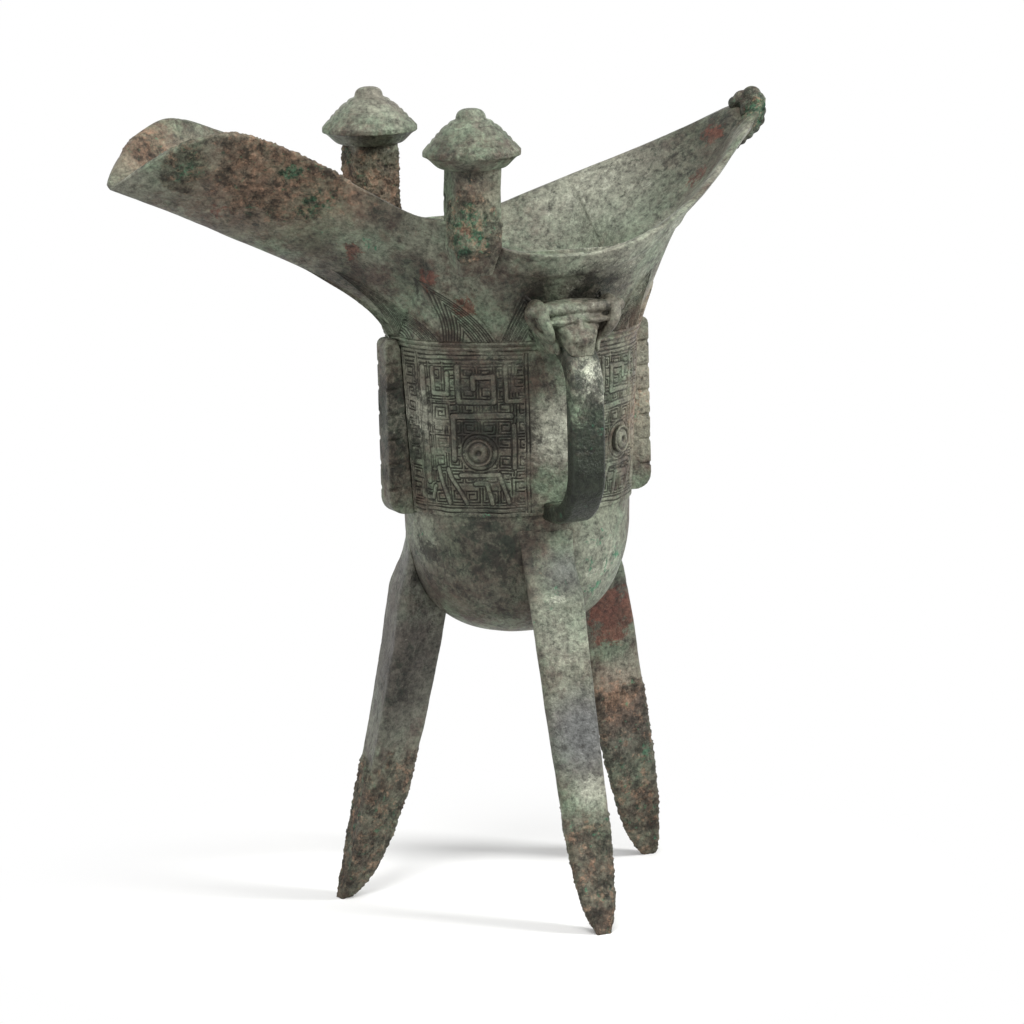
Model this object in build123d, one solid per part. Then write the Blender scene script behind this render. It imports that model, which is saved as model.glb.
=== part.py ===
from build123d import *
import os
from math import cos, radians, sin, sqrt

# A bronze jue: a three-legged wine vessel with a long pouring spout, a pointed tail,
# two capped posts on the rim, a strap handle under an ox head, and three flanges.
# Drawn about the bowl's own axis: +X towards the tail, -X along the spout,
# -Y towards the handle, +Z up from the ground the feet stand on. Millimetres.

# Bowl and decorated band
bowl_bottom_height = 69.5
band_bottom_height = 103.0
band_top_height = 145.0
band_bottom_radius = 29.8
band_middle_radius = 31.0
band_top_radius = 32.2
band_step = 0.5
bowl_width_share = 0.875
wall = 2.4
bowl_floor = 3.2

# Spout, mouth and tail, one boat-shaped hull over the band
spout_reach = 105.8
tail_reach = 72.8
mouth_half_width = 41.2
spout_keel_tip_height = 189.4
tail_keel_tip_height = 196.4
rim_lowest_height = 169.4
spout_crest_height = 203.0
tail_tip_height = 200.8
hull_overrise = 6.0
hull_dip = 12.0
spout_lip_depth = 25.0
tail_lip_depth = 4.0
rim_band_height = 6.2
rim_band_proud = 1.3

# Legs
foot_circle_radius = 48.4
leg_root_radius = 29.6
leg_root_drop = 8.0
leg_width = 17.2
leg_depth = 17.2
leg_shoulder_rise = 4.5
leg_shoulder_draw = 4.6

# Posts and their caps
post_spread = 32.2
post_setback = 24.0
post_length_x = 11.8
post_length_y = 10.8
post_corner_radius = 1.6
post_root_height = 165.5
post_taper_rise = 7.0
post_collar_height = 2.4
post_collar_proud = 1.1
cap_radius = 12.1
cap_edge_height = 196.3
cap_edge_thickness = 1.3
cap_shoulder_radius = 4.9
cap_cone_rise = 7.5
cap_knob_radius = 3.6
cap_knob_rise = 2.6

# Handle and ox head
handle_reach = 45.0
handle_width = 8.8
handle_thickness = 4.8
handle_top_height = 149.5
handle_bottom_drop = 1.5
handle_top_bend = 11.0
handle_bottom_bend = 13.0
handle_edge_radius = 1.2
head_top_height = 157.5
head_width = 21.0
head_height = 13.5
head_corner_radius = 3.0
snout_reach = 42.0
snout_drop = 5.4
horn_radius = 4.2
horn_wire_radius = 1.5

# Flanges and eyes
flange_spout_radius = 36.0
flange_tail_radius = 36.6
flange_back_reach = 4.2
flange_thickness = 6.2
flange_bottom_height = 102.4
flange_top_height = 146.8
flange_top_round = 1.8
flange_bottom_round = 4.0
flange_score_width = 0.8
flange_score_depth = 0.6
flange_score_reach = 3.4
flange_score_count = 6
eye_radius = 3.5
eye_proud = 1.5
eye_pupil_radius = 1.1
eye_pupil_depth = 0.7
eye_height = 119.5
eye_azimuth = 38.6

# Every cut runs this far past what it cuts, and pieces sink this far into the body that trims them
overrun = 5.0
root_depth = 4.0

# The bowl's round bottom from its middle up to the band: way out, and climb
bowl_profile_shares = ((0.20, 0.0), (0.38, 0.028), (0.56, 0.09), (0.71, 0.185), (0.83, 0.32),
                       (0.915, 0.48), (0.965, 0.64), (0.99, 0.80), (1.0, 1.0))
# Keels of spout and tail: way out beyond the band, and climb from the band to the tip
spout_keel_shares = ((0.0, 0.0), (0.05, 0.14), (0.13, 0.27), (0.25, 0.405), (0.39, 0.53),
                     (0.56, 0.665), (0.73, 0.80), (1.0, 1.0), (1.2, 1.14))
tail_keel_shares = ((0.0, 0.0), (0.05, 0.16), (0.12, 0.27), (0.22, 0.38), (0.38, 0.53),
                    (0.58, 0.70), (0.80, 0.86), (1.0, 1.0), (1.2, 1.14))
# Half widths at the rim, going out along the reach, as shares of the mouth's half width
spout_width_shares = ((0.0, 0.955), (0.12, 0.895), (0.24, 0.76), (0.36, 0.62), (0.46, 0.545),
                      (0.60, 0.52), (0.80, 0.51), (1.2, 0.51))
tail_width_shares = ((0.0, 0.955), (0.20, 1.0), (0.36, 0.935), (0.52, 0.78), (0.68, 0.54),
                     (0.84, 0.29), (1.0, 0.08), (1.2, 0.04))
# How the wall climbs: above one it flares late, below one it bellies early
spout_flare_shares = ((0.0, 1.5), (0.20, 1.25), (0.32, 0.85), (0.45, 0.68), (1.2, 0.66))
tail_flare_shares = ((0.0, 1.5), (0.20, 1.35), (0.36, 1.15), (0.46, 1.08), (0.56, 0.90),
                     (0.70, 0.62), (1.2, 0.52))
spout_station_shares = (1.05, 0.95, 0.85, 0.75, 0.65, 0.56, 0.48, 0.42, 0.375, 0.335, 0.30, 0.25, 0.18, 0.09)
tail_station_shares = (0.0, 0.12, 0.24, 0.34, 0.42, 0.455, 0.50, 0.57, 0.65, 0.74, 0.83, 0.91, 0.97, 1.0)
hull_level_shares = (0.05, 0.18, 0.42, 0.72, 1.0)
hull_flare_share = 0.25
keel_slope_factor = 1.15
knee_factor = 3.0

# The rim from the side, from the spout's tip to the tail's: way along each reach, and height
# above its lowest point as a share of its climb to that tip
rim_spout_place_shares = (1.012, 0.955, 0.875, 0.78, 0.66, 0.55, 0.435, 0.34, 0.265, 0.15)
rim_spout_rise_shares = (0.575, 0.745, 0.92, 1.0, 0.885, 0.71, 0.48, 0.315, 0.26, 0.055)
rim_tail_place_shares = (0.03, 0.19, 0.38, 0.58, 0.76, 0.92, 1.04)
rim_tail_rise_shares = (0.01, 0.075, 0.235, 0.45, 0.68, 0.905, 1.06)
rim_band_start_share = 0.2
rim_band_taper_share = 0.5

# Legs: where foot and root stand and where the flat outer face looks, in degrees from -Y to +X,
# and how the leg sweeps: over one it kicks out at the foot, under one it bows
leg_places = {
    "leg_front": (-0.8, -7.0, -2.0, 1.12),
    "leg_spout_side": (-110.5, -110.5, -98.0, 1.22),
    "leg_tail_side": (112.4, 113.5, 116.0, 0.86),
}
leg_height_shares = (0.0, 0.05, 0.15, 0.27, 0.60, 1.0)
leg_width_shares = (0.22, 0.50, 0.70, 0.81, 0.89, 1.0)
leg_depth_shares = (0.22, 0.50, 0.69, 0.82, 0.94, 1.0)
leg_level_shares = (0.0, 0.03, 0.08, 0.16, 0.28, 0.45, 0.70, 1.0)
leg_corner_share = 0.1

# Sections of the ox head from the wall to the snout: way out, width, height and droop
head_section_shares = ((0.0, 1.0, 1.0, 0.0), (0.45, 0.86, 0.9, 0.1), (0.80, 0.60, 0.66, 0.5), (1.0, 0.48, 0.48, 1.0))
# The post's foot, narrower than its shaft
post_root_share = 0.68
# The cap's cone between its edge and its knob: way in from the edge, and climb
cap_cone_shares = ((0.30, 0.42), (0.65, 0.80))

cap_underside_height = cap_edge_height - cap_edge_thickness
leg_root_height = band_bottom_height - leg_root_drop
handle_bottom_height = band_bottom_height - handle_bottom_drop


def smooth(table, at):
    """A table of two columns read along a smooth curve through its points."""
    row = 0
    while row < len(table) - 2 and at > table[row + 1][0]:
        row += 1
    before, (x0, y0) = table[max(row - 1, 0)], table[row]
    (x1, y1), after = table[row + 1], table[min(row + 2, len(table) - 1)]
    step = x1 - x0
    enter = (y1 - before[1]) / (x1 - before[0]) * step
    leave = (after[1] - y0) / (after[0] - x0) * step
    part = min(max((at - x0) / step, 0.0), 1.0)
    rise = y1 - y0
    bend = (3 * rise - 2 * enter - leave) * part ** 2
    return y0 + enter * part + bend + (enter + leave - 2 * rise) * part ** 3


def polar(azimuth, radius):
    """A plan point, its azimuth in degrees from the handle's side towards the tail."""
    return radius * sin(radians(azimuth)), -radius * cos(radians(azimuth))


def rim_points():
    """The rim seen from the side, from the spout's tip to the tail's."""
    spout = [(-spout_reach * place, rim_lowest_height + (spout_crest_height - rim_lowest_height) * rise)
             for place, rise in zip(rim_spout_place_shares, rim_spout_rise_shares)]
    tail = [(tail_reach * place, rim_lowest_height + (tail_tip_height - rim_lowest_height) * rise)
            for place, rise in zip(rim_tail_place_shares, rim_tail_rise_shares)]
    return spout + tail


def above_rim(drop=0.0, taper=0.0):
    """Everything above the rim's side profile, or above it let down by a drop that tapers to the tail."""
    points = [(x, z - drop * (1 - taper * max(x, 0.0) / tail_reach)) for x, z in rim_points()]
    start, end = points[0], points[-1]
    far = tail_reach
    ceiling = spout_crest_height + 2 * far
    frame = Polyline(end, (end[0], end[1] - overrun), (end[0] + far, end[1] - overrun),
                     (end[0] + far, ceiling), (start[0] - far, ceiling),
                     (start[0] - far, start[1] - overrun), (start[0], start[1] - overrun), start)
    side = make_face(Curve([Spline(points), frame]))
    return Rot(90, 0, 0) * extrude(side, amount=far, both=True)


def keel_height(x):
    """The height of the hull's keel, level with the band's top until it leaves the band."""
    table, reach, tip = (spout_keel_shares, spout_reach, spout_keel_tip_height)
    if x > 0:
        table, reach, tip = (tail_keel_shares, tail_reach, tail_keel_tip_height)
    out = (abs(x) - band_top_radius) / (reach - band_top_radius)
    return band_top_height + (tip - band_top_height) * smooth(table, max(out, 0.0))


def hull_section(x, inset):
    """One U across the hull: it leaves the band's outline and flares out to the rim."""
    share = abs(x) / (spout_reach if x < 0 else tail_reach)
    mouth = mouth_half_width * smooth(spout_width_shares if x < 0 else tail_width_shares, share)
    flare = smooth(spout_flare_shares if x < 0 else tail_flare_shares, share)
    band = bowl_width_share * sqrt(max(band_top_radius ** 2 - x ** 2, 0.0))
    base = keel_height(x)
    lip = max(smooth(rim_points(), x), base + (spout_lip_depth if x < -spout_reach / 2 else tail_lip_depth))
    base = base + inset * keel_slope_factor
    points = [(0.0, base - hull_dip * band / (bowl_width_share * band_top_radius))]
    for level in hull_level_shares:
        half = band + (mouth - band) * level ** flare
        half -= inset * min(1.0, half / (knee_factor * wall))
        points.append((half, base + (lip - base) * level))
    edge = (points[-1][0] + hull_overrise * hull_flare_share, lip + hull_overrise)
    points.append(edge)
    left = [(-y, z) for y, z in reversed(points[1:])]
    ceiling = spout_crest_height + 2 * spout_lip_depth
    walls = Polyline(edge, (edge[0], ceiling), (-edge[0], ceiling), left[0])
    across = Plane(origin=(x, 0, 0), x_dir=(0, 1, 0), z_dir=(1, 0, 0))
    return across * make_face(Curve([Spline(left + points), walls]))


def hull(inset=0.0):
    """The boat shape of spout, mouth and tail, its walls drawn in by an inset."""
    places = [-spout_reach * share for share in spout_station_shares]
    places += [tail_reach * share for share in tail_station_shares]
    last = tail_reach - max(inset, 0.0) * knee_factor
    places = [x for x in places if x < last - wall] + [last]
    return loft([hull_section(x, inset) for x in places], ruled=True)


def oval(radius, height):
    """A level section of the bowl, narrower from the handle's side to the back."""
    return Pos(0, 0, height) * Ellipse(radius, radius * bowl_width_share)


def bowl(inset=0.0, floor=0.0):
    """The round-bottomed bowl and the band over it, slightly oval in plan."""
    radius = band_bottom_radius - band_step - inset
    bottom = bowl_bottom_height + floor
    depth = band_bottom_height - bottom
    below = loft([oval(radius * out, bottom + depth * up) for out, up in bowl_profile_shares], ruled=True)
    band = [oval(band_bottom_radius - inset, band_bottom_height),
            oval(band_middle_radius - inset, (band_bottom_height + band_top_height) / 2),
            oval(band_top_radius - inset, band_top_height)]
    if inset:
        band.append(oval(band_top_radius - inset, band_top_height + overrun))
    return below + loft(band, ruled=True)


def rim_band():
    """The plain raised band under the rim, from the posts back to the tail's tip."""
    swollen = (hull(-rim_band_proud) - above_rim()) & above_rim(rim_band_height, rim_band_taper_share)
    start = -post_setback + post_length_x * rim_band_start_share
    length = tail_reach - start + overrun
    keep = Pos(start + length / 2, 0, rim_lowest_height) * Box(length, 4 * mouth_half_width, 4 * spout_lip_depth)
    return swollen & keep


def leg_section(name, share, radius_draw=0.0, rise=0.0):
    """One level section of a leg: a flat outer face and a rounded ridge looking inwards."""
    foot, root, face, sweep = leg_places[name]
    fx, fy = polar(foot, foot_circle_radius)
    rx, ry = polar(root, leg_root_radius)
    width = leg_width * smooth(tuple(zip(leg_height_shares, leg_width_shares)), share)
    depth = leg_depth * smooth(tuple(zip(leg_height_shares, leg_depth_shares)), share)
    nx, ny = polar(face, 1.0)
    out = (1 - share) ** sweep
    x = rx + (fx - rx) * out - nx * radius_draw
    y = ry + (fy - ry) * out - ny * radius_draw
    level = Plane(origin=(x, y, leg_root_height * share + rise), x_dir=(-ny, nx, 0), z_dir=(0, 0, 1))
    outline = make_face(Polyline((-width / 2, 0), (width / 2, 0), (0, depth), (-width / 2, 0)))
    outline = fillet(outline.vertices(), width * leg_corner_share)
    return level * outline


def leg(name, body):
    """A splayed blade of a leg, pointed at the foot, its shoulder running out into the bowl."""
    sections = [leg_section(name, share) for share in leg_level_shares]
    sections.append(leg_section(name, leg_level_shares[-1], leg_shoulder_draw, leg_shoulder_rise))
    return loft(sections, ruled=True) - body


def post(side, shell):
    """A squared post that grips the rim from both sides, tapered below and collared under its cap."""
    full = RectangleRounded(post_length_x, post_length_y, post_corner_radius)
    root = RectangleRounded(post_length_x * post_root_share, post_length_y * post_root_share,
                            post_corner_radius * post_root_share)
    collar = RectangleRounded(post_length_x + 2 * post_collar_proud, post_length_y + 2 * post_collar_proud,
                              post_corner_radius)
    taper_top = post_root_height + post_taper_rise
    x, y = -post_setback, side * post_spread
    lean = side * post_length_y * (1 - post_root_share) / 2
    standing = loft([Pos(x, y - lean, post_root_height) * root, Pos(x, y, taper_top) * full], ruled=True)
    standing += Pos(x, y, taper_top) * extrude(full, cap_underside_height - taper_top)
    standing += Pos(x, y, cap_underside_height - post_collar_height) * extrude(collar, post_collar_height)
    return standing - shell


def cap(side):
    """A flared conical cap with a domed knob."""
    shoulder_height = cap_edge_height + cap_cone_rise
    top_height = shoulder_height + cap_knob_rise
    inwards = cap_radius - cap_shoulder_radius
    edge = (cap_radius, cap_edge_height)
    shoulder = (cap_shoulder_radius, shoulder_height)
    cone = [(cap_radius - inwards * way, cap_edge_height + cap_cone_rise * up) for way, up in cap_cone_shares]
    knob_foot = (cap_knob_radius, shoulder_height)
    knob = Spline(knob_foot, (0, top_height), tangents=[(0, 1), (-1, 0)])
    rest = Polyline((0, top_height), (0, cap_underside_height), (cap_radius, cap_underside_height), edge)
    outline = make_face(Curve([Spline([edge] + cone + [shoulder]), Line(shoulder, knob_foot), knob, rest]))
    return Pos(-post_setback, side * post_spread, 0) * revolve(Plane.XZ * outline, Axis.Z)


def handle_strap(body):
    """The strap that leaves the wall under the ox head, runs down and turns back in under the band."""
    half = handle_thickness / 2
    inner = band_bottom_radius * bowl_width_share - root_depth
    out = handle_reach - half
    top, bottom = handle_top_height - half, handle_bottom_height + half
    corners = [(0, -inner, top), (0, -out, top), (0, -out, bottom), (0, -inner, bottom)]
    over = (0, -out + handle_top_bend, top)
    down = (0, -out, top - handle_top_bend)
    low = (0, -out, bottom + handle_bottom_bend)
    back = (0, -out + handle_bottom_bend, bottom)
    top_turn = TangentArc(over, down, tangent=(0, -1, 0))
    low_turn = TangentArc(low, back, tangent=(0, 0, -1))
    path = Curve([Line(corners[0], over), top_turn, Line(down, low), low_turn, Line(back, corners[-1])])
    section = Plane(origin=corners[0], x_dir=(1, 0, 0), z_dir=(0, -1, 0))
    profile = section * RectangleRounded(handle_width, handle_thickness, handle_edge_radius)
    return sweep(profile, path=path) - body


def ox_head(body, strap):
    """The ox head over the handle: a broad brow narrowing to a drooping snout, with curled horns."""
    start = band_top_radius * bowl_width_share - root_depth
    middle = head_top_height - head_height / 2
    sections = []
    for way, width, height, droop in head_section_shares:
        place = Plane(origin=(0, -start - (snout_reach - start) * way, middle - snout_drop * droop / 2),
                      x_dir=(1, 0, 0), z_dir=(0, -1, 0))
        radius = head_corner_radius * height
        sections.append(place * RectangleRounded(head_width * width, head_height * height, radius))
    head = loft(sections, ruled=True)
    horn = Rot(0, 90, 0) * Torus(horn_radius, horn_wire_radius)
    for side in (-1, 1):
        at = (side * (head_width - horn_wire_radius) / 2, -start - root_depth - 2 * horn_radius,
              head_top_height - horn_radius)
        head += Pos(*at) * horn
    return head - strap - body


def flange(azimuth, wall_radius, outer, body):
    """A vertical flange on the band with rounded corners and short cross scores."""
    height = flange_top_height - flange_bottom_height
    inner = wall_radius - root_depth
    side = make_face(Polyline((inner, flange_bottom_height), (outer, flange_bottom_height),
                              (outer, flange_top_height), (inner, flange_top_height),
                              (inner, flange_bottom_height)))
    low, high = side.vertices().sort_by(Axis.X)[-2:].sort_by(Axis.Y)
    side = fillet(low, flange_bottom_round)
    high = side.vertices().sort_by(Axis.Y)[-2:].sort_by(Axis.X)[-1]
    side = fillet(high, flange_top_round)
    plate = Rot(90, 0, 0) * extrude(side, flange_thickness / 2, both=True)
    pitch = height / (flange_score_count + 1)
    slot = Box(2 * flange_score_reach, flange_thickness, flange_score_width)
    for turn in range(flange_score_count):
        z = flange_bottom_height + pitch * (turn + 1)
        for hand in (-1, 1):
            y = hand * (flange_thickness - flange_score_depth)
            plate -= Pos(outer, y, z) * slot
    return Rot(0, 0, azimuth - 90) * plate - body


def eye(azimuth, body):
    """A round staring eye, a low dome with a pit for its pupil, seated on the band."""
    dome = Spline((eye_radius, 0), (0, eye_proud), tangents=[(-1, 2), (-1, 0)])
    under = Polyline((0, eye_proud), (0, -wall), (eye_radius, -wall), (eye_radius, 0))
    boss = revolve(Plane.XZ * make_face(Curve([dome, under])), Axis.Z)
    boss -= Pos(0, 0, eye_proud) * Cylinder(eye_pupil_radius, 2 * eye_pupil_depth)
    x, y = polar(azimuth, band_middle_radius)
    normal = (x, y / bowl_width_share, 0)
    seat = Plane(origin=(x, y * bowl_width_share, eye_height), x_dir=(0, 0, 1), z_dir=normal)
    return seat * boss - body


def joined(solids):
    """Several separate solids kept as one named piece."""
    return Compound(children=list(solids))


def build():
    """Every piece of the vessel by name, about the bowl's own axis."""
    body = hull() - above_rim() + bowl()
    shell = body + rim_band() - (hull(wall) + bowl(wall, bowl_floor))
    strap = handle_strap(body)
    pieces = {"vessel": shell}
    for name in leg_places:
        pieces[name] = leg(name, body)
    for name, side in (("near", -1), ("far", 1)):
        pieces["post_" + name] = post(side, shell)
        pieces["cap_" + name] = cap(side)
    pieces["handle_strap"] = strap
    pieces["ox_head"] = ox_head(body, strap)
    side_wall, back_wall = band_bottom_radius, band_bottom_radius * bowl_width_share
    pieces["flange_spout"] = flange(-90.0, side_wall, flange_spout_radius, body)
    pieces["flange_tail"] = flange(90.0, side_wall, flange_tail_radius, body)
    back_radius = band_top_radius * bowl_width_share + flange_back_reach
    pieces["flange_back"] = flange(180.0, back_wall, back_radius, body)
    pieces["mask_eyes"] = joined(eye(turn, body) for turn in
                                 (-eye_azimuth, eye_azimuth, 180 - eye_azimuth, 180 + eye_azimuth))
    return pieces


def main():
    """Builds the pieces, moves them over the middle of their footprint and writes one file each."""
    pieces = build()
    box = Compound(children=[Compound(piece.solids()) for piece in pieces.values()]).bounding_box()
    shift = Pos(-(box.min.X + box.max.X) / 2, -(box.min.Y + box.max.Y) / 2, -box.min.Z)
    os.makedirs("parts", exist_ok=True)
    for name, piece in pieces.items():
        export_step(shift * piece, "parts/" + name + ".step")
    print(shift.position, box.size)


main()
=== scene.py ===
# %% [markdown]
# # A bronze jue, long in the ground
# A jue is a small wine vessel on three blade-like legs. It was cast in one pour of leaded tin
# bronze in a clay piece mould, so its bowl, band, spout, tail, legs, posts, handle and flanges
# are one metal skin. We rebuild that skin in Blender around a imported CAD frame. The frame gives
# us the true size and place of every mass; the looks are our job: crisp cast relief, pitted and
# crusted corrosion, and the greens, browns and reds of a bronze patina.

# %% The frame and the libraries
import math

import bmesh
import bpy
import numpy as np
from mathutils import Matrix, Vector


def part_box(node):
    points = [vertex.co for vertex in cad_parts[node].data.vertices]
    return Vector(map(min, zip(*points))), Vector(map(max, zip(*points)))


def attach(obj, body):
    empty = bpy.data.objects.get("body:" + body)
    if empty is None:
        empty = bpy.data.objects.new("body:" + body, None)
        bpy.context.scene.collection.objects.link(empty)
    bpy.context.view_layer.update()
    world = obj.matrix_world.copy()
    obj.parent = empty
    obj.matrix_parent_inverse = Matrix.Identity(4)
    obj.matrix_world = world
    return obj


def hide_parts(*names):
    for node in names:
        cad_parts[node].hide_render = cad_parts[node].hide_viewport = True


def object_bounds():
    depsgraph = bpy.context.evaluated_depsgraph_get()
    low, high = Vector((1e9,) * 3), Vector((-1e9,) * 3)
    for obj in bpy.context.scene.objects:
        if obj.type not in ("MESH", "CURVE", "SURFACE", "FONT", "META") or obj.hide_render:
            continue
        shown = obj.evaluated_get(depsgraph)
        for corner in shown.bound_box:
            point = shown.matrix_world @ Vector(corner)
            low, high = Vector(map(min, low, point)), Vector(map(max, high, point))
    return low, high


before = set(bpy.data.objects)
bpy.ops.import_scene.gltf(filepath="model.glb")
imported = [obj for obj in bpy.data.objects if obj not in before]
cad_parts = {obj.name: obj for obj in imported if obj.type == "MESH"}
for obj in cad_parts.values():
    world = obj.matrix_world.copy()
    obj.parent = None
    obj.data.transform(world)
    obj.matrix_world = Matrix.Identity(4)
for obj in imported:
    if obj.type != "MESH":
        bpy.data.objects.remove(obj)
cad_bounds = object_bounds()
print("nodes in the frame:", sorted(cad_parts))

# %% [markdown]
# ## Units and the bowl's own axis
# Everything below is written in millimetres about the bowl's axis, because that is how one
# measures a round vessel. Blender works in metres in the frame's own coordinates. The eyes of
# the two masks stand evenly round the axis, so the middle of their box gives us the shift.

# %% Millimetres to the frame
MM = 0.001
eyes_low, eyes_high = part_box("mask_eyes")
axis_x = (eyes_low[0] + eyes_high[0]) / 2
axis_y = (eyes_low[1] + eyes_high[1]) / 2


def to_frame(points):
    """Points in millimetres about the bowl's axis, as an array in the frame's metres."""
    return np.asarray(points, dtype=float) * MM + np.array((axis_x, axis_y, 0.0))


print("bowl axis at", round(axis_x / MM, 2), round(axis_y / MM, 2), "mm")

# %% [markdown]
# ## The camera
# The photograph looks down a little on the vessel from its spout side with a long lens. The
# place, the lens and the small roll were solved from the feet, flanges, caps and tips.

# %% Camera
camera_azimuth = math.radians(23.985)
camera_elevation = math.radians(10.813)
camera_roll = math.radians(-1.4768)
camera_distance = 1250.0
focal_pixels = 4921.9
image_side = 1024
sensor_width = 36.0
camera_target = (-1.4246, 0.0, 99.302)

forward = Vector((math.sin(camera_azimuth) * math.cos(camera_elevation),
                  math.cos(camera_azimuth) * math.cos(camera_elevation), -math.sin(camera_elevation)))
right = Vector((math.cos(camera_azimuth), -math.sin(camera_azimuth), 0.0))
up = right.cross(forward)
rolled_right = right * math.cos(camera_roll) + up * math.sin(camera_roll)
rolled_up = up * math.cos(camera_roll) - right * math.sin(camera_roll)


def placed(name, data):
    """A new object that holds this data, linked into the scene."""
    made = bpy.data.objects.new(name, data)
    bpy.context.scene.collection.objects.link(made)
    return made


camera = placed("camera", bpy.data.cameras.new("camera"))
camera.data.sensor_width = sensor_width
camera.data.lens = focal_pixels / image_side * sensor_width
place = Vector(to_frame(camera_target)) - forward * camera_distance * MM
turn = Matrix((rolled_right, rolled_up, -forward)).transposed().to_4x4()
camera.matrix_world = Matrix.Translation(place) @ turn
camera.data.clip_start, camera.data.clip_end = 0.05, 20.0
bpy.context.scene.camera = camera
bpy.context.scene.view_settings.view_transform = "Standard"
print("camera at", [round(v, 3) for v in place], "lens", round(camera.data.lens, 1))

# %% [markdown]
# ## Small helpers
# One function adds a node to any tree, shader or geometry, with its settings and its links.
# Another turns the hex colours that painters use, which are sRGB, into the linear light that a
# renderer adds up. A third makes a mesh object and merges its doubles.

# %% Helpers
def add(tree, kind, values=None, **settings):
    """Adds a node: settings are its properties, values fill or link inputs by name or number."""
    node = tree.nodes.new(kind)
    for name, value in settings.items():
        setattr(node, name, value)
    for socket, value in (values or {}).items():
        if isinstance(value, bpy.types.NodeSocket):
            tree.links.new(value, node.inputs[socket])
        else:
            node.inputs[socket].default_value = value
    return node


def linear(code):
    """An sRGB hex colour such as 8a9382 as linear red, green, blue and alpha."""
    parts = [int(code[i:i + 2], 16) / 255 for i in (0, 2, 4)]
    return [v / 12.92 if v <= 0.04045 else ((v + 0.055) / 1.055) ** 2.4 for v in parts] + [1.0]


# Points closer than this, in millimetres, count as one
merge_distance = 0.002


def mesh_object(name, points, faces, **layers):
    """A smooth object from points in millimetres, with its own layers of point values."""
    mesh = bpy.data.meshes.new(name)
    mesh.from_pydata([tuple(p) for p in to_frame(points)], [], faces)
    for layer, values in layers.items():
        set_layer(mesh, layer, values)
    work = bmesh.new()
    work.from_mesh(mesh)
    bmesh.ops.remove_doubles(work, verts=work.verts, dist=merge_distance * MM)
    bmesh.ops.recalc_face_normals(work, faces=work.faces)
    work.to_mesh(mesh)
    work.free()
    mesh.shade_smooth()
    return placed(name, mesh)


def set_layer(mesh, layer, values):
    """Stores one number for each point of a mesh."""
    held = mesh.attributes.get(layer) or mesh.attributes.new(layer, "FLOAT", "POINT")
    held.data.foreach_set("value", np.asarray(values, dtype=np.float32).ravel())


def points_of(mesh):
    """A mesh's points in millimetres about the bowl's axis."""
    flat = np.empty(len(mesh.vertices) * 3)
    mesh.vertices.foreach_get("co", flat)
    return (flat.reshape(-1, 3) - np.array((axis_x, axis_y, 0.0))) / MM


def soft_step(value, low, high):
    """Zero below low, one above high, and smooth between; low may be the larger of the two."""
    part = np.clip((value - low) / (high - low), 0.0, 1.0)
    return part * part * (3 - 2 * part)


def plain(made):
    """Turns a live object into a plain mesh, as its modifiers leave it, and removes them."""
    bpy.context.view_layer.update()
    seen = made.evaluated_get(bpy.context.evaluated_depsgraph_get())
    mesh = bpy.data.meshes.new_from_object(seen)
    made.modifiers.clear()
    made.data = mesh
    mesh.shade_smooth()
    return made


print("points closer than", merge_distance, "mm are merged")
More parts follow.
